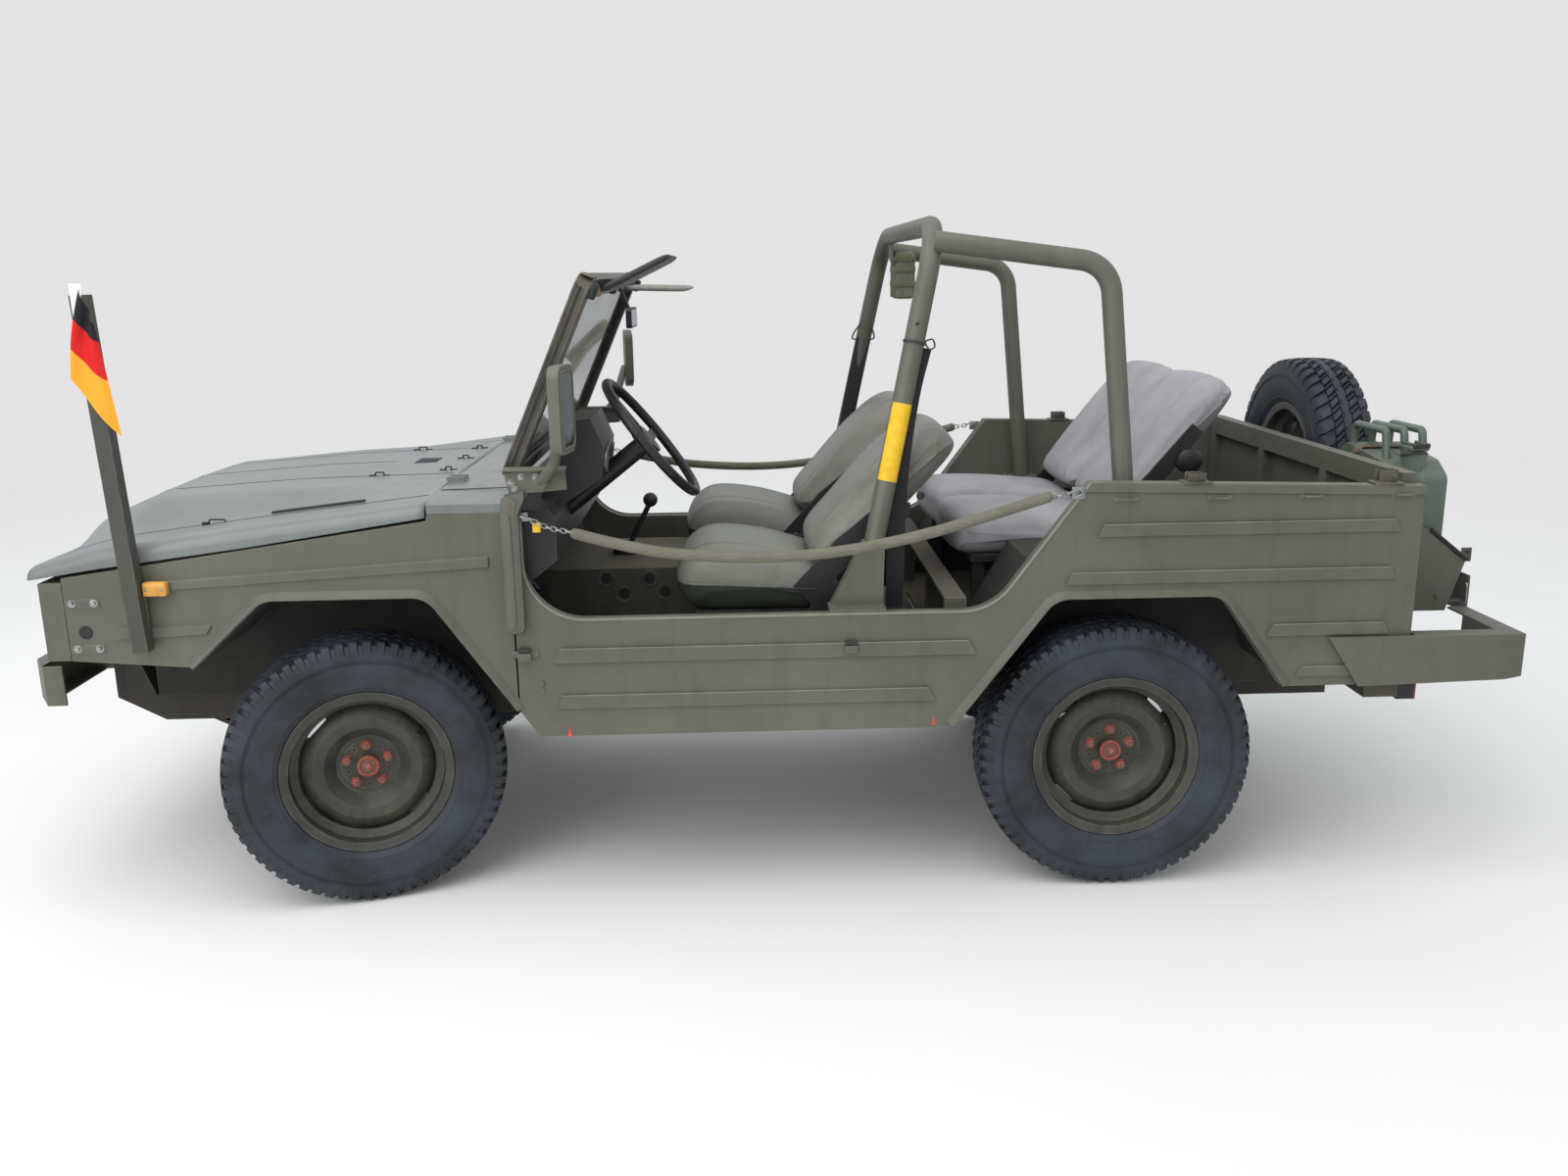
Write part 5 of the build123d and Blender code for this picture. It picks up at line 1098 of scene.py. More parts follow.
fittingValues = {
    "middle": ((1.108, 0.0), (1.806, 0.0)),
    "sides": (((0.880, 0.2800), (1.806, 0.2405)), ((0.880, 0.5744), (1.806, 0.5535))),
    "slot": ((1.052, 0.5475), (1.295, 0.537)), "slotWidth": 0.017,
    # each wire loop's place, direction and width
    "loops": ((1.431, 0.561, (1, -0.04, 0), 0.046), (1.084, 0.270, (1, -0.04, 0), 0.026),
              (1.092, -0.285, (1, 0.04, 0), 0.026), (0.904, -0.249, (1, 0, 0), 0.018),
              (0.899, -0.005, (1, 0, 0), 0.018), (0.903, 0.219, (1, 0, 0), 0.018))}


def bonnetFittings(values):
    middle = [(grooveLine(*values["middle"]), "grooveShade")]
    side = [(grooveLine(*ends), "grooveShade") for ends in values["sides"]]
    first, last = values["slot"]
    slot = [np.array(first) + (np.array(last) - first) * share for share in np.linspace(0, 1, 12)]
    rubber = [(x, y, onBonnet(x, y) + 0.0015) for x, y in slot]
    fittings = [(carried(rubber, roundedRect(values["slotWidth"], 0.007, 0.003, 2)), "blackRubber")]
    for x, y, along, width in values["loops"]:
        fittings += wireLoop(x, y, along, width)
    z = onBonnet(1.006, 0.009)
    fittings.append((slab((0.974, -0.036, z - 0.004), (1.038, 0.054, z + 0.0016), 0.001), "grooveShade"))
    return bothSides(side) + middle + fittings


makePiece("bonnetFittings", bonnetFittings(fittingValues), "hood")

# Lengthwise seams on the cowl, in line with the bonnet's grooves; the cowl falls a little towards the front
cowlValues = {"rear": 0.672, "front": 0.846, "height": 1.0990, "fall": 0.02,
              "lines": (-0.575, -0.286, 0.0, 0.286, 0.575)}


def cowlSeam(y, values):
    path = [(x, y, values["height"] - values["fall"] * (x - 0.66))
            for x in np.linspace(values["rear"], values["front"], 6)]
    return carried(path, roundedRect(0.004, 0.0024, 0.001, 1)), "grooveShade"


makePiece("cowlSeams", [cowlSeam(y, cowlValues) for y in cowlValues["lines"]], "body")
print("bonnet made")

# Seats: a rounded outline carried across, swelling in the middle and rounding off at both sides
def pad(side, outline, middle, width, rounding, swell, hollow=0.0, steps=44, around=96):
    # rings of the outline from side to side: each ring is drawn in towards the outline's own middle by a
    # quarter circle near the sides, and swells outwards in between; hollow sinks the two channels beside the
    # middle panel
    ring = smoothPath(outline, around, closed=True)
    gradient = np.roll(ring, -1, 0) - np.roll(ring, 1, 0)
    outward = np.stack([gradient[:, 1], -gradient[:, 0]], axis=1)
    outward /= np.linalg.norm(outward, axis=1, keepdims=True)
    if ((ring - ring.mean(axis=0)) * outward).sum() < 0:
        outward = -outward
    turn = np.linspace(-math.pi / 2, math.pi / 2, 9)
    across = np.concatenate([-width / 2 + rounding * (1 + np.sin(turn[:5])),
                             np.linspace(-width / 2 + rounding, width / 2 - rounding, steps)[1:-1],
                             width / 2 - rounding * (1 - np.sin(turn[4:]))])
    edge = np.clip((np.abs(across) - width / 2 + rounding) / rounding, 0, 1)
    inset = rounding * (1 - np.sqrt(np.clip(1 - edge ** 2, 0, 1)))
    bulge = swell * (1 - (2 * across / width) ** 2) - inset
    channel = hollow * np.exp(-((np.abs(across) - width * 0.29) / 0.007) ** 2)
    up = np.clip(outward[:, 1], 0, 1) ** 0.5
    points = ring[None] + outward[None] * (bulge[:, None] - channel[:, None] * up[None])[..., None]
    y = np.broadcast_to((side * middle + across)[:, None], points.shape[:2])
    grid = np.stack([points[..., 0], y, points[..., 1]], axis=-1)
    centre = grid[[0, -1]].mean(axis=1, keepdims=True)
    firstCaps = centre[0] + (grid[0] - centre[0]) * np.array([0.0, 0.35, 0.7])[:, None, None]
    lastCaps = centre[1] + (grid[-1] - centre[1]) * np.array([0.7, 0.35, 0.0])[:, None, None]
    bow = 0.006 * (1 - np.array([0.0, 0.35, 0.7]) ** 2)
    firstCaps[..., 1] -= bow[:, None]
    lastCaps[..., 1] += bow[::-1, None]
    return gridPart(np.concatenate([firstCaps, grid, lastCaps]), capped=False)


def splitPart(part, isUpper):
    # two parts of one: the faces whose middles pass the test, and the others
    spots, faces = part
    corners = np.array(faces)
    upper = isUpper(spots[corners].mean(axis=1))
    return [(spots, corners[upper].tolist()), (spots, corners[~upper].tolist())]


def leaning(points, corner, lean):
    # an outline along and through a seat back, placed at its lower front corner
    a = math.radians(lean)
    return [(corner[0] - math.sin(a) * h - math.cos(a) * t, corner[1] + math.cos(a) * h - math.sin(a) * t)
            for h, t in points]


frontCushion = {
    "outline": [(0.206, 0.770), (0.242, 0.832), (0.218, 0.888), (0.150, 0.918), (0.020, 0.905), (-0.110, 0.868),
                (-0.163, 0.845), (-0.160, 0.766), (-0.020, 0.758), (0.120, 0.758)],
    "middle": 0.372, "width": 0.436, "rounding": 0.05, "swell": 0.012, "hollow": 0.005}
frontBack = {
    "outline": leaning([(0.0, 0.012), (0.12, 0.004), (0.26, 0.0), (0.38, 0.012), (0.440, 0.040), (0.450, 0.075),
                        (0.430, 0.112), (0.30, 0.118), (0.15, 0.116), (0.0, 0.112), (-0.012, 0.06)],
                       (-0.104, 0.932), 43),
    "middle": 0.372, "width": 0.436, "rounding": 0.06, "swell": 0.012, "hollow": 0.005}
rearCushion = {
    "outline": [(-0.535, 0.868), (-0.522, 0.918), (-0.552, 0.958), (-0.700, 0.962), (-0.850, 0.950),
                (-0.955, 0.934), (-0.963, 0.870), (-0.850, 0.864), (-0.660, 0.864)],
    "middle": 0.214, "width": 0.404, "rounding": 0.035, "swell": 0.012}
rearBack = {
    "outline": leaning([(0.0, 0.010), (0.14, 0.002), (0.30, 0.004), (0.40, 0.016), (0.435, 0.040),
                        (0.438, 0.070), (0.415, 0.100), (0.25, 0.106), (0.10, 0.104), (0.0, 0.100),
                        (-0.012, 0.05)], (-0.934, 1.010), 38),
    "middle": 0.214, "width": 0.404, "rounding": 0.05, "swell": 0.010, "hollow": 0.003}
pipingValues = {"front": 0.2390, "rear": -0.1600, "half": 0.2225, "corner": 0.045, "level": 0.824,
                "slope": 0.055}


def overPiping(middles):
    # the front cushion's cover lies over its piping and the darker skirt under it
    return middles[:, 2] > pipingValues["level"] + pipingValues["slope"] * middles[:, 0]


for side, word in ((1, "Left"), (-1, "Right")):
    cover, skirt = splitPart(pad(side, **frontCushion), overPiping)
    for name, parts, stands in (
            ("frontCushion", [(cover, "frontVinyl"), (skirt, "skirtVinyl")], ["seat_cushions"]),
            ("frontBack", [(pad(side, **frontBack), "frontVinyl")], ["seat_backs"]),
            ("rearCushion", [(pad(side, **rearCushion), "rearVinyl")], []),
            ("rearBack", [(pad(side, **rearBack), "rearVinyl")], [])):
        piece = makePiece(name + word, parts, "body", stands, smooth=180,
                          weld=1e-6 if len(parts) > 1 else 0.0)
print("seats made")

# Windscreen: the glass's seals, ridges and a groove on each side, rubber blocks and the visors' plates, drawn
# upright at the pivot and then leant back
screenValues = {"pivot": (0.655, 0, 1.127), "lean": -24, "half": 0.725, "low": 0.014, "high": 0.548,
                "bar": 0.044, "groove": 0.007}
screenTurn = (Matrix.Translation(screenValues["pivot"])
              @ Matrix.Rotation(math.radians(screenValues["lean"]), 4, "Y"))


def screenTrim(values):
    low, high, half, bar = values["low"], values["high"], values["half"], values["bar"]
    parts = []
    seal = roundedRect(2 * (half - bar) - 0.004, high - low - 2 * bar - 0.004, 0.034, 6)
    seal = np.column_stack([np.zeros(len(seal)), seal[:, 0], seal[:, 1] + (low + high) / 2])
    for x in (-0.006, 0.006):
        parts.append((carried(seal + (x, 0, 0), circle(0.0055, 8), up=(1, 0, 0), closed=True), "blackRubber"))
    for s in (-1, 1):
        # the groove down each side drawn as a dark strip of painted shade
        groove = [(0.002, s * (half + 0.0002), z) for z in (0.05, 0.2, 0.4, 0.52)]
        parts.append((carried(groove, roundedRect(values["groove"], 0.0016, 0.0006, 1), up=(0, 1, 0)),
                      "blackRubber"))
        for x in (-0.014, 0.016):
            ridge = [(x, s * half, z) for z in (0.045, 0.2, 0.4, 0.525)]
            parts.append((carried(ridge, roundedRect(0.007, 0.005, 0.002, 2), up=(0, 1, 0)), "screenPaint"))
        parts.append((slab((-0.036, s * 0.700 - 0.022, 0.500), (-0.018, s * 0.700 + 0.022, 0.540), 0.005),
                      "blackRubber"))
        parts.append((slab((-0.016, s * 0.66 - 0.05, 0.5475), (0.016, s * 0.66 + 0.05, 0.5515), 0.002),
                      "screenPaint"))
    return [(moved(part, screenTurn), finishName) for part, finishName in parts]


makePiece("screenTrim", screenTrim(screenValues), "windscreen", smooth=40)

# Sun visors: padded boards on a rod, the near one raised and the far one level
visorValues = {"rod": (0.4194, 1.5891), "middle": 0.380, "length": 0.200, "width": 0.420,
               "thickness": 0.016, "raised": (25.3, -1.7)}


def visorParts(side, raised, values):
    rodX, rodZ = values["rod"]
    place = (Matrix.Translation((rodX, side * values["middle"], rodZ))
             @ Matrix.Rotation(math.radians(raised), 4, "Y"))
    length, half = values["length"], values["width"] / 2
    rings = []
    for share in (1 - np.cos(np.linspace(0, math.pi, 19))) / 2:
        fullness = max(1 - abs(2 * share - 1) ** 8, 0.02) ** 0.5
        thick = max(values["thickness"] * fullness, 0.003)
        ring = roundedRect(2 * half * (0.93 + 0.07 * fullness), thick, thick * 0.45, 4)
        rings.append(np.column_stack([np.full(len(ring), -length * share), ring[:, 0], ring[:, 1]]))
    board = gridPart(np.array(rings))
    rod = carried([(0, -half - 0.02, 0), (0, half + 0.02, 0)], circle(0.0045, 10))
    blocks = [(slab((0.412, side * y - 0.012, 1.577), (0.430, side * y + 0.012, 1.597), 0.003), finishName)
              for y, finishName in ((0.590, "brassEnd"), (0.172, "blackRubber"))]
    return [(moved(board, place), "visorVinyl" if side > 0 else "visorGrey"),
            (moved(rod, place), "steel")] + blocks


makePiece("sunVisors", visorParts(1, visorValues["raised"][0], visorValues)
          + visorParts(-1, visorValues["raised"][1], visorValues), "windscreen",
          ["sun_visors"], smooth=50)


# Mirrors: glass in a thin frame on the back of each plate
def glassPlate(width, height, corner, thickness):
    outline = roundedRect(width, height, corner, 5)
    return platePart(outline, -thickness, 0.0, 0.0006, "yz")


mirrorValues = {"place": (0.478, 0.930, 1.332), "turn": -8, "back": -0.0128, "width": 0.100, "height": 0.168,
                "corner": 0.022, "thickness": 0.0012, "rim": 0.0032}
innerMirrorValues = {"place": (0.3774, 0, 1.506), "width": 0.196, "height": 0.046, "corner": 0.010}


def mirrorParts(values):
    place = (Matrix.Translation(values["place"]) @ Matrix.Rotation(math.radians(values["turn"]), 4, "Z")
             @ Matrix.Translation((values["back"], 0, 0)))
    glass = glassPlate(values["width"], values["height"], values["corner"], values["thickness"])
    line = roundedRect(values["width"] + 0.006, values["height"] + 0.006, values["corner"] + 0.003, 5)
    line = np.column_stack([np.zeros(len(line)), line])
    rim = moved(carried(line, circle(values["rim"], 8), up=(1, 0, 0), closed=True), place)
    glasses = bothSides([(moved(glass, place), "darkMirror")])
    return glasses + [(rim, "bodyPaint"), (mirroredPart(rim), "blackRubber")]


makePiece("mirrorGlasses", mirrorParts(mirrorValues), "body")
innerGlass = glassPlate(innerMirrorValues["width"], innerMirrorValues["height"], innerMirrorValues["corner"],
                        mirrorValues["thickness"])
innerGlass = moved(innerGlass, Matrix.Translation(innerMirrorValues["place"]))
makePiece("innerMirrorGlass", [(innerGlass, "mirrorGlass")], "windscreen")
print("windscreen dressed")

# Roll bar: yellow tape, belts with their rings, foot bolts; belt buckles on stalks between the front seats
barValues = {"foot": (-0.262, 0.672, 0.940), "top": (-0.428, 0.600, 1.740), "radius": 0.026,
             "tape": (1.111, 1.304), "tapeSpread": 66, "belt": 0.047, "farBelt": 0.048, "ring": 1.455}


def onBar(z, values=barValues):
    foot, top = np.array(values["foot"]), np.array(values["top"])
    return foot + (top - foot) * (z - foot[2]) / (top[2] - foot[2])


def tapePart(low, high, radius, spreadAngle):
    # a shell round the outer side of the bar
    turn = np.radians(np.linspace(90 - spreadAngle, 90 + spreadAngle, 15))
    arc = np.column_stack([np.cos(turn), np.sin(turn)])
    section = np.concatenate([arc * (radius + 0.0007), arc[::-1] * (radius - 0.0010)])
    return carried([onBar(low), onBar((low + high) / 2), onBar(high)], section, up=(0, 1, 0))


def barParts(values):
    parts = [(tapePart(*values["tape"], values["radius"], values["tapeSpread"]), "yellowTape")]
    belt = roundedRect(values["belt"], 0.0026, 0.0011, 2)
    near = [onBar(1.44) + (-0.030, -0.010, 0), onBar(1.33) + (-0.024, -0.014, 0),
            onBar(1.18) + (-0.030, -0.018, 0), (-0.330, 0.626, 1.05), (-0.326, 0.6235, 0.95)]
    parts.append((carried(smoothPath(near, 40), belt, up=(0, 1, 0), size=np.linspace(0.8, 1, 40)),
                  "blackWebbing"))
    ring = onBar(values["ring"])
    wire = smoothPath([ring + (-0.028, 0, 0), ring + (-0.046, 0, 0.006), ring + (-0.052, 0, -0.012),
                       ring + (-0.038, 0, -0.018)], 24, closed=True)
    parts += [(turnedPart([(0.0275, -0.004), (0.0290, -0.003), (0.0290, 0.003), (0.0275, 0.004)], ring,
                          (-0.166, -0.072, 0.8), 30, ring=True), "blackPaint"),
              (carried(wire, circle(0.0022, 7), up=(0, 1, 0), closed=True), "blackPaint")]
    parts.append((turnedPart([(0.0050, -0.001), (0.0050, 0.0006)], onBar(1.50) + (0.004, 0.0256, 0),
                             (0, 1, 0), 12), "blackRubber"))
    return parts


def farBelt(values):
    belt = roundedRect(values["farBelt"], 0.0026, 0.0011, 2)
    path = [(-0.356, -0.612, 1.405), (-0.330, -0.615, 1.28), (-0.300, -0.625, 1.12), (-0.278, -0.625, 1.00),
            (-0.285, -0.622, 0.86)]
    parts = [(carried(smoothPath(path, 40), belt, up=(0, -1, 0)), "blackWebbing")]
    loopPath = [(-0.352, -0.612, 1.402), (-0.318, -0.612, 1.408), (-0.345, -0.612, 1.452),
                (-0.368, -0.612, 1.462), (-0.385, -0.612, 1.440), (-0.392, -0.612, 1.405)]
    parts.append((carried(smoothPath(loopPath, 40, closed=True), circle(0.0028, 8), up=(0, 1, 0), closed=True),
                  "blackPaint"))
    return parts


feetPlaces = [(x, y, 0.796) for y in (0.664, 0.728) for x in (-0.278, -0.158)]
feetPlaces += [(x, y, 0.9152) for x in (-0.966, -0.876) for y in (0.622, 0.688)]
feetBolts = [(bolt(place, (0, 0, 1), 0.006), "bodyPaint") for place in feetPlaces]
stalkParts = []
for y in (0.133, -0.133):
    stalkParts += [(slab((-0.222, y - 0.010, 0.855), (-0.176, y + 0.010, 0.905), 0.005), "blackPlastic"),
                   (slab((-0.214, y - 0.006, 0.900), (-0.184, y + 0.006, 0.911), 0.003), "redLens")]
tape, *belts = barParts(barValues)
makePiece("barDetails", bothSides([tape] + feetBolts) + belts + farBelt(barValues) + stalkParts, "body",
          smooth=45)

# Pouch webbing: level and upright bands
pouchValues = {"levels": (1.668, 1.634, 1.588), "uprights": (-0.490, -0.450, -0.410), "half": 0.010}


def pouchParts(values):
    half = values["half"]
    bands = [slab((-0.5035, -0.5235, z - half), (-0.4365, -0.3765, z + half), 0.002) for z in values["levels"]]
    bands += [slab((-0.5045, y - half, 1.545), (-0.4355, y + half, 1.692), 0.002) for y in values["uprights"]]
    return [(band, "pouchWebbing") for band in bands]


makePiece("pouchWebbing", pouchParts(pouchValues), "body")
print("bar and pouch dressed")

# Seats: piping round each front cushion, the recliner's knobs and the rear seat's hinge caps
reclinerValues = {"seat": 0.372, "half": 0.226, "gap": 0.006, "knob": (-0.320, 0.987), "pin": (-0.392, 1.062)}
capPlace = (-1.152, 0.428, 1.114)


def pipingPath(middle, values):
    outline = roundedRect(values["front"] - values["rear"], 2 * values["half"], values["corner"], 6)
    x = outline[:, 0] + (values["front"] + values["rear"]) / 2
    return np.column_stack([x, outline[:, 1] + middle, values["level"] + values["slope"] * x])


def reclinerParts(side, values):
    # a knob, a pin's end and a lever's end on each side of a front seat
    parts = []
    for out in (1, -1):
        y = side * (values["seat"] + out * values["half"] + out * values["gap"])
        for key, profile, sides, finishName in (
                ("knob", [(0.017, -0.001), (0.017, 0.010), (0.0145, 0.014), (0.004, 0.015)], 20, "greyKnob"),
                ("pin", [(0.011, -0.001), (0.011, 0.004), (0.007, 0.006)], 16, "blackPlastic")):
            x, z = values[key]
            parts.append((turnedPart(profile, (x, y, z), (0, side * out, 0), sides), finishName))
        parts.append((slab((-0.366, y - 0.0035, 1.005), (-0.346, y + 0.0035, 1.045), 0.003), "blackPlastic"))
    return parts


def hingeCap(side, place):
    profile = [(0.033, -0.022), (0.035, -0.016), (0.035, 0.006), (0.029, 0.012), (0.008, 0.014)]
    x, y, z = place
    return turnedPart(profile, (x, side * y, z), (0, side, 0), 24), "blackPlastic"


seatParts = []
for side in (1, -1):
    piping = carried(pipingPath(side * frontCushion["middle"], pipingValues), circle(0.0042, 8), closed=True)
    seatParts += [(piping, "pipingVinyl"), *reclinerParts(side, reclinerValues), hingeCap(side, capPlace)]
makePiece("seatDetails", seatParts, "body", smooth=45)

# Dashboard: three dials under the hood of the instrument housing, each a dark face in a bright rim with a
# white pointer
dialValues = {"x": 0.4332, "z": 1.150, "axis": (-0.9923, 0, -0.124), "pointer": 0.7,
              "dials": ((0.310, 0.034), (0.385, 0.046), (0.460, 0.034))}


def dialParts(values):
    axis = np.array(values["axis"])
    parts = []
    for y, radius in values["dials"]:
        spot, reach = np.array((values["x"], y, values["z"])), values["pointer"] * radius
        rim = [(radius - 0.004, 0.001), (radius, 0.001), (radius, 0.005), (radius - 0.002, 0.007),
               (radius - 0.004, 0.006)]
        face = [(radius - 0.003, 0.000), (radius - 0.003, 0.002)]
        pointer = [spot + axis * 0.003, spot + axis * 0.003 + (0, reach * 0.5, reach * 0.86)]
        parts += [(turnedPart(rim, spot, axis, 30, ring=True), "galvanised"),
                  (turnedPart(face, spot, axis, 30), "blackRubber"),
                  (carried(pointer, roundedRect(0.002, 0.0012, 0.0005, 1)), "whiteWebbing")]
    return parts


makePiece("dials", dialParts(dialValues), "body")

# Round lightening holes in the gearbox cover's sides, each a dark disc of painted shade in a raised rim
holeValues = {"face": 0.2252, "hole": 0.016,
              "places": ((0.470, 0.770), (0.420, 0.722), (0.345, 0.768), (0.300, 0.728))}


def holeParts(values):
    disc = [(values["hole"], -0.001), (values["hole"], 0.0008)]
    rim = [(values["hole"], -0.001), (0.027, -0.001), (0.025, 0.002), (0.018, 0.002)]
    parts = []
    for x, z in values["places"]:
        spot = (x, values["face"], z)
        parts += [(turnedPart(disc, spot, (0, 1, 0), 20), "blackRubber"),
                  (turnedPart(rim, spot, (0, 1, 0), 24, ring=True), "floorPaint")]
    return parts


makePiece("coverHoles", bothSides(holeParts(holeValues)), "body")
print("inside dressed")

# Can: weld seam along its outline, locked cap with its wire, and a strap over the top
canValues = {"x": -1.795, "seam": ((0.4275, 0.690), (0.4275, 1.0563), (0.3675, 1.0963), (0.1525, 1.1223),
                                   (0.0825, 1.0663), (0.0825, 0.690)),
             "strap": 0.225, "strapWidth": 0.034, "strapEnds": (-1.7095, -1.8805), "strapHeight": (0.92, 1.118)}


def canParts(values):
    seam = filleted([(values["x"], y, z) for y, z in values["seam"]], 0.028, 6)
    wire = smoothPath([(-1.822, 0.372, 1.110), (-1.826, 0.404, 1.118), (-1.795, 0.426, 1.122),
                       (-1.764, 0.404, 1.118), (-1.768, 0.372, 1.110)], 24)
    (front, rear), (low, high) = values["strapEnds"], values["strapHeight"]
    strap = filleted([(x, values["strap"], z) for x, z in ((front, low), (front, high), (rear, high),
                                                           (rear, low))], 0.02, 6)
    return [(carried(seam, roundedRect(0.0055, 0.0065, 0.002, 2), up=(1, 0, 0)), "canPaint"),
            (slab((-1.822, 0.352, 1.128), (-1.768, 0.424, 1.141), 0.004), "canPaint"),
            (slab((-1.816, 0.356, 1.141), (-1.810, 0.430, 1.150), 0.002), "canPaint"),
            (slab((-1.780, 0.356, 1.141), (-1.774, 0.430, 1.150), 0.002), "canPaint"),
            (slab((-1.818, 0.424, 1.136), (-1.772, 0.434, 1.150), 0.003), "blackPaint"),
            (carried(wire, circle(0.0028, 8)), "blackPaint"),
            (carried(strap, roundedRect(values["strapWidth"], 0.003, 0.0012, 2), up=(0, 0.02, 1)), "brownStrap")]


makePiece("canDetails", canParts(canValues), "gate", smooth=45)

# Tub: rubber edging, an ear with its hole drawn as a dark disc of painted shade, bolts and a small wire loop
tubValues = {"face": 0.4475, "edging": ((-1.834, 0.913), (-1.888, 0.870), (-1.9435, 0.826)),
             "bolts": ((-1.70, 0.722), (-1.70, 0.760), (-1.87, 0.722))}


def tubParts(values):
    edging = smoothPath(atSide(values["face"], values["edging"]), 16)
    wire = smoothPath([(-1.9535, 0.436, 0.700), (-1.9535, 0.4480, 0.704), (-1.9535, 0.4480, 0.752),
                       (-1.9535, 0.436, 0.756)], 16)
    return [(carried(edging, circle(0.0065, 10), up=(0, 1, 0)), "blackRubber"),
            (slab((-1.957, 0.4435, 0.820), (-1.927, 0.4485, 0.860), 0.006), "screenPaint"),
            (turnedPart([(0.005, -0.001), (0.005, 0.0008)], (-1.943, 0.4485, 0.847), (0, 1, 0), 12),
             "blackRubber"),
            *[(bolt((x, values["face"], z), radius=0.005), "bodyPaint") for x, z in values["bolts"]],
            (carried(wire, circle(0.002, 7), up=(1, 0, 0)), "steel")]


makePiece("tubDetails", tubParts(tubValues), "gate", smooth=45)
print("tail dressed")

# Head lamps: a domed ribbed lens in a bright ring; lens covers on the side and tail lamps
lampValues = {"head": (1.7630, 0.545, 0.808), "radius": 0.0825, "front": 0.052, "bulge": 0.014,
              "side": 0.7615, "sideFace": 0.7745, "tail": 0.655}


def lampParts(side, values):
    # the lens is a quarter of an oval, from its rim to its middle, turned about the lamp's axis
    x, y, z = values["head"]
    centre, radius, front = np.array((x, side * y, z)), values["radius"], values["front"]
    lens = [(radius, front)] + [(radius * math.cos(a), front + values["bulge"] * math.sin(a))
                                for a in np.linspace(0.2, 1.5, 8)]
    rim = [(0.079, 0.046), (0.0868, 0.046), (0.0868, 0.054), (0.083, 0.058), (0.079, 0.055)]
    y, tail = side * values["side"], side * values["tail"]
    parts = [(turnedPart(lens, centre, (1, 0, 0), 40), "lampGlass"),
             (turnedPart(rim, centre, (1, 0, 0), 44, ring=True), "steel"),
             (slab((1.490, y - 0.0125, 0.874), (1.548, y + 0.0125, 0.910), 0.006), "amberLens"),
             (slab((-1.7015, tail - 0.046, 0.507), (-1.694, tail + 0.046, 0.569), 0.003), "redLens"),
             (slab((-1.7025, tail + 0.012, 0.509), (-1.695, tail + 0.044, 0.567), 0.003), "amberLens")]
    return parts + [(dome((x, side * values["sideFace"], 0.892), (0, side, 0), 0.003, 0.0015), "steel")
                    for x in (1.500, 1.538)]


makePiece("lampLenses", lampParts(1, lampValues) + lampParts(-1, lampValues), "body", smooth=45)
print("lamps made")

# Flag: hung from the pole by its white sleeve, in soft pleats
flagValues = {"top": (1.585, 1.616), "foot": (1.631, 1.410), "flyTop": (1.561, 1.533),
              "flyFoot": (1.533, 1.273), "face": 0.806, "pleat": 0.010,
              "strip": ((1.613, 1.626), (1.585, 1.626), (1.611, 1.470))}


def flagSurface(values, rows=40, columns=64):
    # between two lines, the near fold and the free edge, by straight lines across; pleats run down the cloth as
    # waves that grow towards the free edge, whose stripes bunch at its top
    u, v = np.meshgrid(np.linspace(0, 1, rows), np.linspace(0, 1, columns), indexing="ij")
    u, v = u[..., None], v[..., None]
    fold = np.array(values["top"]) * (1 - u) + np.array(values["foot"]) * u
    free = np.array(values["flyTop"]) * (1 - u ** 1.7) + np.array(values["flyFoot"]) * u ** 1.7
    sheet = fold * (1 - v) + free * v
    depth = values["pleat"] * np.sin(v * 2 * math.pi * 1.4 + u * 1.6) * v ** 0.7
    depth += 0.4 * values["pleat"] * np.sin(v * 11 + u * 3)
    bow = 0.006 * np.sin(math.pi * u) * (1 - v)
    return np.concatenate([sheet[..., :1] + bow, values["face"] + depth,
                           sheet[..., 1:] - 0.008 * np.sin(math.pi * v)], axis=-1)


def flagStrip(values, rows=12):
    # white hoist band, folded away behind the cloth towards its foot: straight lines across between two edges,
    # in and out of its plane by a sine across it
    left, right, foot = (np.array(spot) for spot in values["strip"])
    u = np.linspace(0, 1, rows)[:, None, None]
    v = np.linspace(0, 1, 5)[None, :, None]
    sheet = (left * (1 - v) + right * v) * (1 - u) + (foot - np.array((0.004, 0)) * v) * u
    depth = np.broadcast_to(values["face"] - 0.012 + 0.002 * np.sin(v * 5), sheet[..., :1].shape)
    return np.concatenate([sheet[..., :1], depth, sheet[..., 1:]], axis=-1)


flagGrid = flagSurface(flagValues)
flagStripes = [("flagBlack", 0, 14), ("flagRed", 13, 27), ("flagGold", 26, 40)]
flagPiece = makePiece("flagCloth", [(gridPart(flagGrid[low:high], columnsWrap=False), finishName)
                                    for finishName, low, high in flagStripes]
                      + [(gridPart(flagStrip(flagValues), columnsWrap=False), "flagWhite")],
                      "body", ["flag"], closed=False, smooth=180, weld=1e-6)
print("flag made")

# Floor and light
studio = {"floor": (236, 236, 233), "sky": 0.95, "soft": 60.0}


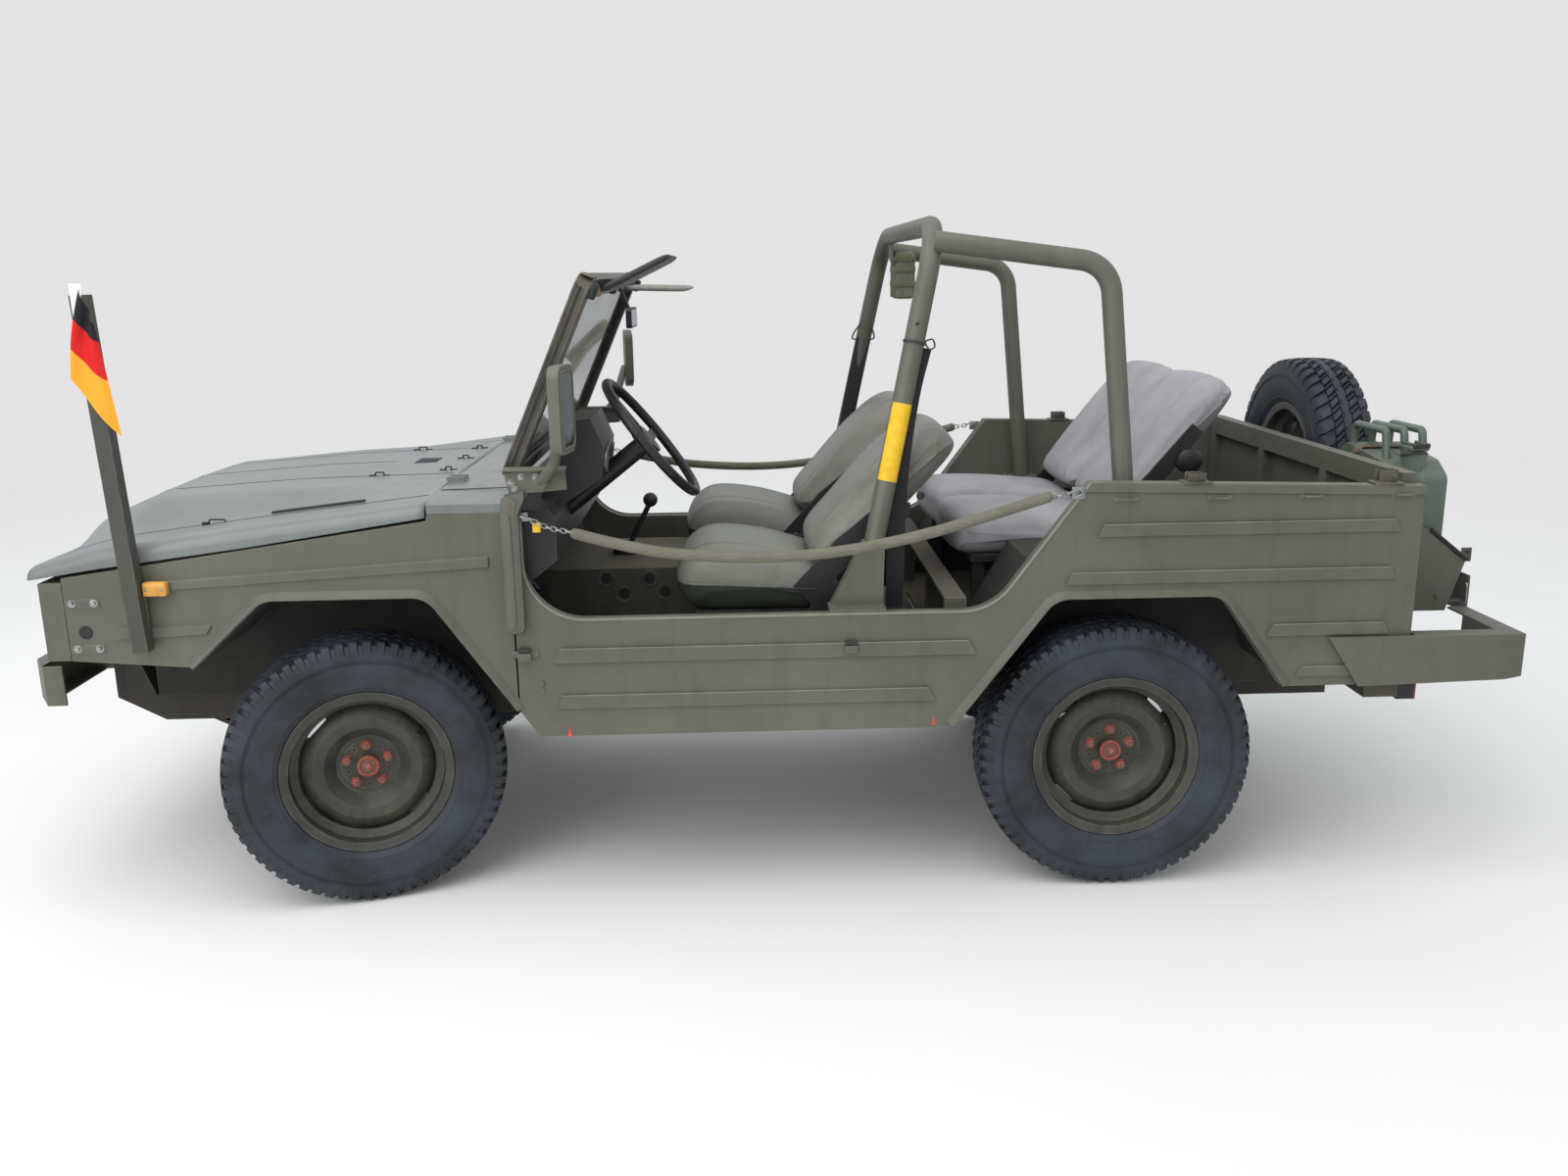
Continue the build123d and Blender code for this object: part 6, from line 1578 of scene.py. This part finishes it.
def makeStudio(values):
    mesh = bpy.data.meshes.new("studioFloor")
    size = 40.0
    mesh.from_pydata([(-size, -size, 0), (size, -size, 0), (size, size, 0), (-size, size, 0)], [],
                     [(0, 1, 2, 3)])
    made, tree, shader = newMaterial("studioFloor", roughness=0.9, specular=0.1)
    place = put(tree, "TexCoord").outputs["Object"]
    cloud = noiseOf(tree, place, 1.4, 4.0)
    tree.links.new(blendColour(tree, cloud, tone(*values["floor"]), tone(*[v - 5 for v in values["floor"]])),
                   shader.inputs["Base Color"])
    away = put(tree, "VectorMath", {0: place}, operation="LENGTH").outputs["Value"]
    tree.links.new(spread(tree, away, 4.0, 11.0, 1.0, 0.0), shader.inputs["Alpha"])
    mesh.materials.append(made)
    floor = bpy.data.objects.new("studioFloor", mesh)
    bpy.context.scene.collection.objects.link(floor)
    world = bpy.data.worlds.new("studio")
    world.use_nodes = True
    bpy.context.scene.world = world
    tree = world.node_tree
    back = tree.nodes["Background"]
    upward = put(tree, "SeparateXYZ", {0: put(tree, "TexCoord").outputs["Generated"]}).outputs[2]
    sky = blendColour(tree, spread(tree, upward, -0.05, 0.35), (0.44, 0.46, 0.49, 1), (0.94, 0.97, 1.0, 1))
    rays = put(tree, "LightPath").outputs
    seen = sums(tree, "MAXIMUM", rays["Is Camera Ray"], rays["Is Transmission Ray"])
    tree.links.new(blendColour(tree, seen, sky, tone(232, 233, 232)), back.inputs["Color"])
    back.inputs["Strength"].default_value = values["sky"]
    for name, spot, target, power, width in (
            ("softAbove", (1.5, 2.5, 5.5), (0, 0, 0.6), values["soft"] * 3, 5.0),
            ("softFront", (3.5, 4.5, 2.6), (0.3, 0, 0.6), values["soft"], 3.0)):
        lamp = bpy.data.lights.new(name, "AREA")
        lamp.energy = power
        lamp.size = width
        holder = bpy.data.objects.new(name, lamp)
        holder.location = spot
        holder.rotation_euler = (Vector(target) - Vector(spot)).to_track_quat("-Z", "Y").to_euler()
        bpy.context.scene.collection.objects.link(holder)


makeStudio(studio)
bpy.context.scene.view_settings.view_transform = "Standard"

bpy.context.view_layer.update()
print("all pieces made")
